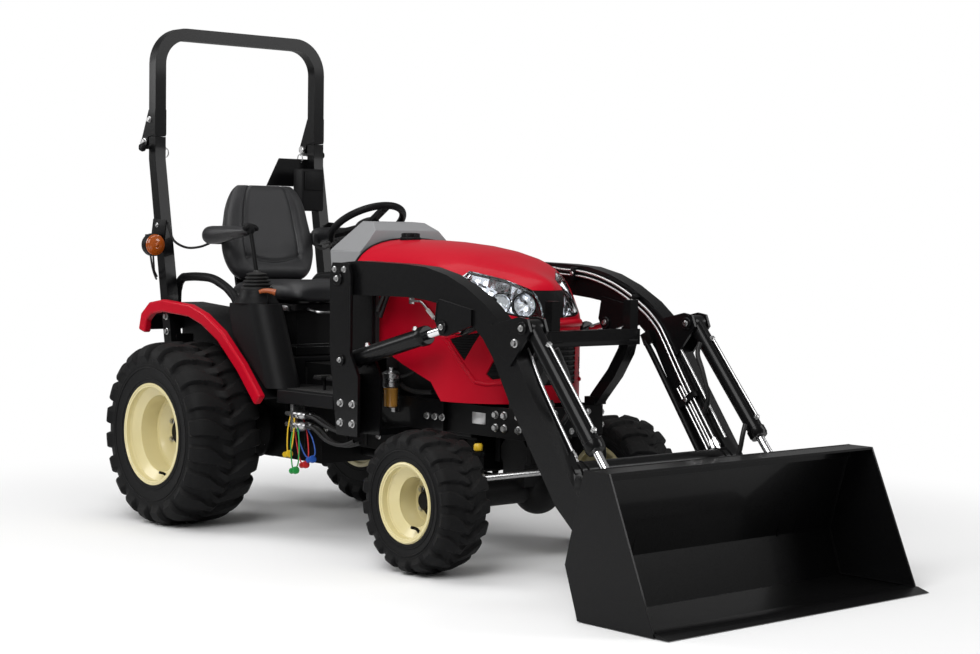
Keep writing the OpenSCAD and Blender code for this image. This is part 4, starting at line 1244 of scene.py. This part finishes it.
def bucket_fittings():
    """Corner beads, rolled top edge, cutting edge and pins of the bucket."""
    scoop = Batch("bucket_fittings", "black_gloss", "scoop")
    corner = [(2398, 440), (2322, 168), (2374, 16), (2680, 16)]
    for side in SIDES:
        for a, b in zip(corner, corner[1:]):
            scoop.bead([(x, side * 613, z) for x, z in (a, b)], 3.2)
    scoop.bar((2398, -614, 450), (2398, 614, 450), 9)
    scoop.prism([(2640, 3), (2736, 3), (2690, 16), (2640, 16)], -618, 618, 1.2)
    scoop.done()
    heads = Batch("bucket_pins", "black_gloss", "scoop")
    ends = Batch("bucket_pin_bolts", "bright_steel", "scoop")
    for side in SIDES:
        for y, way in ((side * 434, side), (side * 338, -side)):
            for (x, z), radius in ((BUCKET_PIVOT, 23), (CURL_EYE, 20)):
                heads.pin((x, y, z), (0, way, 0), radius, 8)
                ends.bolt((x, y + way * 8, z), (0, way, 0), 13, 7)
    heads.done()
    ends.done()


def cylinder_fittings(name, base, eye, length, radius):
    """Glands and ports of a pair of cylinders, with an outside pipe on the bucket's pair."""
    base = Vector(base)
    d = (Vector(eye) - base).normalized()
    n = Vector((-d.y, d.x))
    gland = Batch(name + "_glands", "black_gloss", name + "_cylinders")
    steel = Batch(name + "_ports", "bright_steel", name + "_cylinders")
    end = base + d * (length - 34)
    for side in SIDES:
        y = side * CYLINDER_Y
        gland.lathe((end.x, y, end.y), (d.x, 0, d.y), [
            (radius, 0), (radius + 4, 3), (radius + 4, 26), (radius + 1, 30), (radius + 1, 34)], 32)
        for way in (90, length - 60):
            p = base + d * way + n * (radius - 4)
            steel.lathe((p.x, y, p.y), (n.x, 0, n.y), [(11, 0), (11, 9), (8, 9), (8, 15), (0, 16)], 6)
        if name == "curl":
            line = [base + d * way + n * (radius + 6) for way in (90, 200, length - 60)]
            steel.tube([(q.x, y, q.y) for q in line], 5.0, 10, 4)
    gland.done()
    steel.done()


def parking_stand():
    """Folded stands on the arms' inner faces."""
    stand = Batch("parking_stand", "black_satin", "boom")
    for side in SIDES:
        leg = [(1700, 340, 780), (1760, 340, 700), (1930, 340, 460), (2020, 340, 332)]
        stand.tube(on_side(side, leg), 11, 12, 4)
        stand.prism([(1680, 800), (1720, 820), (1740, 780), (1700, 762)], *span(side, 332, 354), 2)
    stand.done()


class TRACTOR_OT_loader(bpy.types.Operator):
    """Adds the loader's pipes, clamps, hoses, pins, weld beads and bucket edge"""

    bl_idname = "tractor.loader"
    bl_label = "Loader fittings"

    def execute(self, context):
        arm_fittings()
        boom_welds()
        tower_fittings()
        bucket_fittings()
        cylinder_fittings("lift", LIFT_BASE, LIFT_EYE, 430, 31)
        cylinder_fittings("curl", CURL_BASE, CURL_EYE, 480, 28)
        parking_stand()
        return {"FINISHED"}


# Chassis

FILTER_X, FILTER_Y = 990, -246
FILLER_X, FILLER_Y = 1452, -224
PTO_Z = 450


def frame_bolts():
    """Bolts of the frame plates, the front cross plate, the transmission case and the axle trumpets."""
    nuts = Batch("frame_bolts", "bright_steel", "chassis")
    for side in SIDES:
        for x in (1508, 1553, 1626):
            for z in (529, 484):
                nuts.bolt((x, side * 194, z), (0, side, 0), 19, 12, x)
        for k, a in enumerate(ring(8, 0.2)):
            nuts.bolt((104 * math.cos(a), side * 170, 357 + 104 * math.sin(a)), (0, side, 0), 16, 10, k)
        for x in (470, 640, 800):
            nuts.bolt((x, side * 150, 390), (0, side, 0), 16, 10)
    for y in (-120, -40, 40, 120):
        for z in (470, 536):
            nuts.bolt((1640, y, z), (1, 0, 0), 15, 9)
    for y in (-110, -55, 55, 110):
        for x, z in ((-200, 360), (-235, 680)):
            nuts.bolt((x, y, z), (-1, 0, 0), 16, 10)
    nuts.done()


def oil_pan():
    """The engine's oil pan with its flange, bolts and drain plug."""
    pan = Batch("oil_pan", "black_satin", "chassis")
    side_view = [(930, 428), (930, 376), (985, 344), (1080, 302), (1318, 302), (1326, 320), (1326, 428)]
    pan.prism(side_view, -118, 118, 9, segments=3)
    pan.block((922, 1334), (-128, 128), (420, 431), 2)
    for side in SIDES:
        for x in range(950, 1330, 62):
            pan.bolt((x, side * 122, 420), (0, 0, -1), 11, 7, x)
    pan.bolt((1290, 0, 302), (0, 0, -1), 22, 12)
    pan.done()


def blank_plate():
    """The bare metal plate on the right frame plate."""
    plate = Batch("blank_plate", "plate", "chassis")
    plate.prism([(1385, 490), (1456, 490), (1456, 530), (1385, 530)], -196, -194, 0.6)
    plate.done()


def fuel_filter():
    """The filter's amber bowl and its head with two hose ends and a bleed screw."""
    bowl = Batch("filter_bowl", "amber_bowl", "chassis")
    bowl.lathe((FILTER_X, FILTER_Y, 516), UP, [
        (0, 0), (18, 1), (25, 6), (25.5, 64), (27, 66), (27, 72), (24, 74)], 36)
    bowl.done()
    head = Batch("filter_head", "bright_steel", "chassis")
    head.lathe((FILTER_X, FILTER_Y, 590), UP, [
        (27, 0), (31, 4), (31, 18), (27, 22), (27, 30), (33, 34), (33, 52), (20, 60), (0, 60)], 36)
    for way in (1, -1):
        spigot = [(9, 26), (9, 46), (7, 46), (7, 58), (0, 58)]
        head.lathe((FILTER_X, FILTER_Y, 632), (way, -0.3, 0), spigot, 12)
    head.lathe((FILTER_X, FILTER_Y, 650), UP, [(10, 0), (10, 12), (7, 14), (0, 14)], 6)
    head.done()


def couplers():
    """Sleeves and nuts of the four quick couplers, and the hoses that leave them."""
    sleeves = Batch("coupler_rings", "bright_steel", "chassis")
    hose = Batch("coupler_hoses", "rubber", "chassis")
    for i, (y, z) in enumerate(((-372, 465), (-344, 465), (-372, 425), (-344, 425))):
        sleeves.lathe((575, y, z), (1, 0, 0), [
            (11, 0), (14, 2), (14, 18), (11, 20), (11, 34), (15, 36), (15, 52), (12, 56), (12, 72),
            (0, 72)], 24)
        sleeves.lathe((556, y, z), (-1, 0, 0), [(12, -4), (12, 14), (9, 16), (9, 40), (0, 40)], 6)
        hose.tube([(640, y, z), (690, y, z - 4), (760, y + 8, z - 30 - 6 * i), (830, y + 24, z - 46 - 4 * i),
                   (885, y + 40, z - 20 - 8 * i)], 7.5, 12, 6)
    sleeves.done()
    hose.done()


def cap_loop(tint, x, y, z, drop, swing):
    """A coupler's dust cap, hanging in the loop of its tether."""
    route = curve([(x, y - 8, z), (x - 16, y - 12, z - drop * 0.4),
                   (x - 10 + swing * 0.5, y - 14, z - drop * 0.9), (x + swing * 0.8, y - 12, z - drop),
                   (x + 20 + swing, y - 10, z - drop * 0.86),
                   (x + 26 + swing * 0.6, y - 8, z - drop * 0.4), (x + 16, y - 6, z - 4)], 8)
    tether = Batch("cap_loop_" + tint, tint + "_plastic", "chassis")
    tether.sweep(route, 2.6, 8)
    loop = tether.done(60)
    plug = Batch("dust_cap_" + tint, tint + "_plastic", "chassis")
    plug.lathe((x + swing, y - 13, z - drop - 6), (1, 0, 0.2), [
        (0, -22), (11, -20), (11, 2), (14, 4), (14, 14), (0, 16)], 16)
    cap = plug.done(60)


def engine_lines():
    """Fuel and coolant lines beside the engine."""
    lines = Batch("engine_lines", "rubber", "chassis")
    for side in SIDES:
        for route, radius in (([(960, 190, 640), (1010, 214, 600), (1080, 212, 580), (1180, 208, 584)], 9),
                              ([(1048, 246, 632), (1090, 230, 650), (1140, 196, 690), (1200, 160, 740)], 6)):
            lines.tube(on_side(side, route), radius, 12, 6)
    lines.tube([(932, -246, 632), (900, -236, 600), (880, -220, 540), (850, -190, 480)], 6, 12, 6)
    lines.done()


def axle_filler():
    """The front axle's filler neck with its yellow cap, and the bolts of the axle's middle."""
    cap = Batch("filler_cap", "yellow_plastic", "chassis")
    cap.lathe((FILLER_X, FILLER_Y, 402), UP, [(14, 0), (16, 4), (16, 18), (12, 24), (0, 25)], 20)
    cap.done()
    neck = Batch("filler_neck", "casting", "chassis")
    neck.lathe((FILLER_X, FILLER_Y, 280), UP, [(20, -10), (20, 104), (24, 106), (24, 118), (0, 120)], 24)
    neck.done()
    nuts = Batch("axle_fittings", "bright_steel", "chassis")
    for a in ring(8):
        nuts.bolt((1450 + 40 * math.cos(a), 60 + 40 * math.sin(a), 325), UP, 10, 6)
    nuts.done()


def power_take_off():
    """The shaft's shield and splines."""
    shield = Batch("pto_shield", "black_satin", "chassis")
    shield.prism([(-95, 545), (-95, 400), (-80, 400), (-80, 530), (80, 530), (80, 400), (95, 400), (95, 545)],
                 -292, -200, 2, "yz")
    shield.done()
    splines = Batch("pto_splines", "bright_steel", "chassis")
    for a in ring(6):
        y, z = 15.6 * math.cos(a), PTO_Z + 15.6 * math.sin(a)
        splines.bar((-309, y, z), (-222, y, z), 3, 8)
    splines.done()


def case_ribs():
    """Cast ribs around the transmission case, shorter ahead of its step."""
    ribs = Batch("case_ribs", "casting", "chassis")
    for x, foot in ((60, 300), (200, 300), (330, 300), (600, 350), (720, 350)):
        ribs.block((x, x + 12), (-156, 156), (foot, 620), 3)
    ribs.done()


class TRACTOR_OT_chassis(bpy.types.Operator):
    """Adds bolts, oil pan, blank plate, filter, couplers with dust caps, hoses and drive line fittings"""

    bl_idname = "tractor.chassis"
    bl_label = "Chassis fittings"

    def execute(self, context):
        frame_bolts()
        oil_pan()
        blank_plate()
        fuel_filter()
        couplers()
        cap_loop("yellow", 560, -372, 470, 150, -14)
        cap_loop("red", 570, -344, 470, 186, 44)
        cap_loop("green", 580, -372, 430, 168, 8)
        cap_loop("blue", 590, -344, 430, 122, 66)
        engine_lines()
        axle_filler()
        power_take_off()
        case_ribs()
        return {"FINISHED"}


# Roll bar

TURN_LAMP = (-285, 470, 1090)
HINGE = (-428, 1508)
LOCK_PIN = (-402, 1486)
LAMP_WIRES = (
    ([(-296, 462, 1052), (-300, 456, 1010), (-316, 444, 985), (-330, 428, 970), (-334, 420, 960)], 4),
    ([(-290, 478, 1050), (-288, 470, 1000), (-300, 452, 968), (-322, 430, 950)], 4),
    ([(-262, 415, 1182), (-250, 412, 1146), (-238, 396, 1104), (-222, 350, 1080), (-204, 296, 1084),
      (-186, 250, 1104)], 5))


def post_fittings():
    """Locking pins with their knobs and rings, post bolts and the turn lamps' brackets."""
    pins = Batch("hinge_pins", "bright_steel", "chassis")
    grip = Batch("pin_knobs", "black_plastic", "chassis")
    plates = Batch("lamp_brackets", "black_satin", "chassis")
    x, z = LOCK_PIN
    for side in SIDES:
        out = (0, side, 0)
        grip.lathe((x, side * 424, z), out, [(7, 0), (7, 14), (16, 18), (18, 26), (14, 36), (0, 38)], 18)
        pins.bar((x, side * 340, z), (x, side * 424, z), 6)
        pins.hoop(x, side * 338, z - 18, 18, 2.2, 24)
        for bolt_x, bolt_z in ((-250, 740), (-256, 800)):
            pins.bolt((bolt_x, side * 423, bolt_z), out, 18, 11)
        for bolt_z in (1120, 1170):
            pins.bolt((-318, side * 429, bolt_z), out, 13, 8)
        plates.prism([(-372, 1100), (-270, 1100), (-252, 1190), (-352, 1196)], *span(side, 423, 429), 1.5)
        plates.block((-300, -284), span(side, 429, 498), (1058, 1132), 2)
    pins.done()
    grip.done(60)
    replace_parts(plates.done(), "turn_lamps")


def turn_lamps():
    """Ribbed amber lenses in their cases, with their wires."""
    lens = Batch("turn_lenses", "amber_lens", "chassis")
    case = Batch("turn_cases", "black_plastic", "chassis")
    wires = Batch("lamp_wires", "rubber", "chassis")
    ribbed = [(43, 16)]
    for k in range(5):
        rise = 5 * k - 0.6 * k * k
        ribbed += [(42 - 7.6 * k, 22 + rise), (37.5 - 7.6 * k, 23.5 + rise)]
    for side in SIDES:
        c = (TURN_LAMP[0], side * TURN_LAMP[1], TURN_LAMP[2])
        lens.lathe(c, (1, 0, 0), ribbed + [(0, 40)], 28)
        lens.lathe(c, (-1, 0, 0), [(40, 16), (38, 24), (28, 31), (14, 34), (0, 35)], 28)
        case.lathe(c, (1, 0, 0), [(0, -16), (44, -15), (46, -10), (46, 14), (43, 17)], 40)
        for route, radius in LAMP_WIRES:
            wires.tube(on_side(side, route), radius, 8, 6)
    lens.done(20)
    case.done()
    wires.done()


def document_box():
    """The box on the left post, and the bolts of the blank sign."""
    box = Batch("document_box", "black_plastic", "chassis")
    box.block((-342, -270), (258, 372), (1240, 1420), 8, 3)
    box.block((-268, -262), (268, 362), (1330, 1410), 2)
    box.done()
    nuts = Batch("sign_bolts", "bright_steel", "chassis")
    for z in (1386, 1440):
        nuts.bolt((-397, 382, z), (-1, 0, 0), 12, 7)
    nuts.done()


def hoop_fittings():
    """Bolts and pins of the folding hoop."""
    nuts = Batch("hoop_fittings", "bright_steel", "roll_hoop")
    x, z = HINGE
    for side in SIDES:
        nuts.bolt((x, side * 425, z), (0, side, 0), 24, 14)
        nuts.pin((x, side * 371, z), (0, -side, 0), 16, 12)
        nuts.bolt((-390, side * 425, 1600), (0, side, 0), 18, 10)
    nuts.done()


class TRACTOR_OT_roll_bar(bpy.types.Operator):
    """Adds the roll bar's pins and knobs, the turn lamps' lenses and wires and the document box"""

    bl_idname = "tractor.roll_bar"
    bl_label = "Roll bar fittings"

    def execute(self, context):
        post_fittings()
        turn_lamps()
        document_box()
        hoop_fittings()
        return {"FINISHED"}


# Stage

def straight_rays(tree):
    """1 for rays from the camera and through clear pieces, which see the pale studio."""
    path = add(tree, "ShaderNodeLightPath")
    return add(tree, "ShaderNodeMath", operation="ADD", use_clamp=True, in_0=path.outputs["Is Camera Ray"],
               in_1=path.outputs["Is Transmission Ray"]).outputs[0]


def make_floor(reach):
    """A pale floor that keeps the shadow and fades to white around the tractor."""
    mesh = bpy.data.meshes.new("floor")
    bm = bmesh.new()
    bmesh.ops.create_circle(bm, cap_ends=True, radius=reach, segments=96)
    bm.to_mesh(mesh)
    bm.free()
    floor = bpy.data.objects.new("floor", mesh)
    floor.location = (0, 0, CAD_BOX[0].z)
    bpy.context.scene.collection.objects.link(floor)
    mat = bpy.data.materials.new("pale_floor")
    mat.use_nodes = True
    tree = mat.node_tree
    matt = tree.nodes["Principled BSDF"]
    matt.inputs["Base Color"].default_value = (0.86, 0.86, 0.86, 1)
    matt.inputs["Roughness"].default_value = 0.9
    white = add(tree, "ShaderNodeEmission", in_Strength=1.0)
    place = add(tree, "ShaderNodeTexCoord")
    away = add(tree, "ShaderNodeVectorMath", operation="LENGTH", in_0=place.outputs["Object"])
    fade = add(tree, "ShaderNodeMapRange", interpolation_type="SMOOTHSTEP", in_0=away.outputs["Value"],
               in_1=1.4, in_2=3.2)
    weigh = add(tree, "ShaderNodeMath", operation="MULTIPLY", in_0=fade.outputs[0], in_1=straight_rays(tree))
    mix = add(tree, "ShaderNodeMixShader", in_0=weigh.outputs[0], in_1=matt.outputs[0], in_2=white.outputs[0])
    tree.links.new(mix.outputs[0], tree.nodes["Material Output"].inputs["Surface"])
    mesh.materials.append(mat)


def make_world():
    """Soft light from all around, which the camera sees as white."""
    world = bpy.data.worlds.new("studio")
    bpy.context.scene.world = world
    world.use_nodes = True
    tree = world.node_tree
    light = tree.nodes["Background"]
    light.inputs["Color"].default_value = (1, 1, 1, 1)
    light.inputs["Strength"].default_value = 0.24
    seen = add(tree, "ShaderNodeBackground", in_Color=(1, 1, 1, 1), in_Strength=1.0)
    mix = add(tree, "ShaderNodeMixShader", in_0=straight_rays(tree), in_1=light.outputs[0],
              in_2=seen.outputs[0])
    tree.links.new(mix.outputs[0], tree.nodes["World Output"].inputs["Surface"])


def make_lamps(key):
    """Four square lamps: name, place, target, size and power."""
    for name, place, target, size, power in (
            ("key_lamp", (4.4, 4.2, 3.6), (0.6, 0, 0.5), 2.6, key * 0.45),
            ("fill_lamp", (2.4, -4.2, 4.4), (0.2, 0, 0.7), 3.4, key),
            ("top_lamp", (-0.6, -0.4, 5.2), (-0.2, 0, 0.8), 3.4, key * 0.42),
            ("side_lamp", (-4.2, -3.4, 3.0), (-0.4, 0, 0.8), 2.4, key * 0.35)):
        lamp = bpy.data.lights.new(name, "AREA")
        lamp.size = size
        lamp.energy = power
        obj = bpy.data.objects.new(name, lamp)
        obj.location = place
        obj.rotation_euler = (Vector(target) - Vector(place)).to_track_quat("-Z", "Y").to_euler()
        bpy.context.scene.collection.objects.link(obj)


PHOTO_WIDTH = 980
FOCAL_PIXELS = 1915
CAMERA_PLACE = (6434, -4557, 1150)
CAMERA_YAW, CAMERA_PITCH, CAMERA_ROLL = math.radians(138.68), math.radians(-2.77), math.radians(0.77)
SENSOR = 36.0


def make_camera():
    """The camera that was fitted to the wheels, axles, roll bar and bucket of the photograph."""
    level = math.cos(CAMERA_PITCH)
    ahead = Vector((level * math.cos(CAMERA_YAW), level * math.sin(CAMERA_YAW), math.sin(CAMERA_PITCH)))
    right = ahead.cross(Vector(UP)).normalized()
    up = right.cross(ahead)
    c, s = math.cos(CAMERA_ROLL), math.sin(CAMERA_ROLL)
    right, up = c * right + s * up, c * up - s * right
    cam = bpy.data.objects.new("camera", bpy.data.cameras.new("camera"))
    cam.data.sensor_width = SENSOR
    cam.data.lens = FOCAL_PIXELS / PHOTO_WIDTH * SENSOR
    turn = Matrix((right, up, -ahead)).transposed().to_4x4()
    cam.matrix_world = Matrix.Translation(at(*CAMERA_PLACE)) @ turn
    bpy.context.scene.collection.objects.link(cam)
    bpy.context.scene.camera = cam


class TRACTOR_OT_stage(bpy.types.Operator):
    """Makes the pale floor, the soft lamps and the camera"""

    bl_idname = "tractor.stage"
    bl_label = "Stage"

    def execute(self, context):
        stage = context.scene.tractor_stage
        make_floor(stage.floor)
        make_world()
        make_lamps(stage.key)
        make_camera()
        context.scene.view_settings.view_transform = "Standard"
        return {"FINISHED"}


# Add-on

class TRACTOR_PT_panel(bpy.types.Panel):
    """Lists the tractor's pieces"""

    bl_idname = "TRACTOR_PT_panel"
    bl_label = "Loader tractor"
    bl_space_type = "VIEW_3D"
    bl_region_type = "UI"
    bl_category = "Tractor"

    def draw(self, context):
        for step in STEPS:
            self.layout.operator(step.bl_idname)


STEPS = [
    TRACTOR_OT_finish_solids, TRACTOR_OT_hood, TRACTOR_OT_lamps, TRACTOR_OT_wheels, TRACTOR_OT_seat,
    TRACTOR_OT_controls, TRACTOR_OT_loader, TRACTOR_OT_chassis, TRACTOR_OT_roll_bar, TRACTOR_OT_stage,
]
CLASSES = [TractorFinish, TractorSizes, TractorStage, *STEPS, TRACTOR_PT_panel]


def register():
    for cls in CLASSES:
        bpy.utils.register_class(cls)
    bpy.types.Scene.tractor_finish = bpy.props.PointerProperty(type=TractorFinish)
    bpy.types.Scene.tractor_sizes = bpy.props.PointerProperty(type=TractorSizes)
    bpy.types.Scene.tractor_stage = bpy.props.PointerProperty(type=TractorStage)


def unregister():
    del bpy.types.Scene.tractor_stage, bpy.types.Scene.tractor_sizes, bpy.types.Scene.tractor_finish
    for cls in reversed(CLASSES):
        bpy.utils.unregister_class(cls)


def main():
    register()
    for step in STEPS:
        group, name = step.bl_idname.split(".")
        getattr(getattr(bpy.ops, group), name)()


if __name__ == "__main__":
    main()
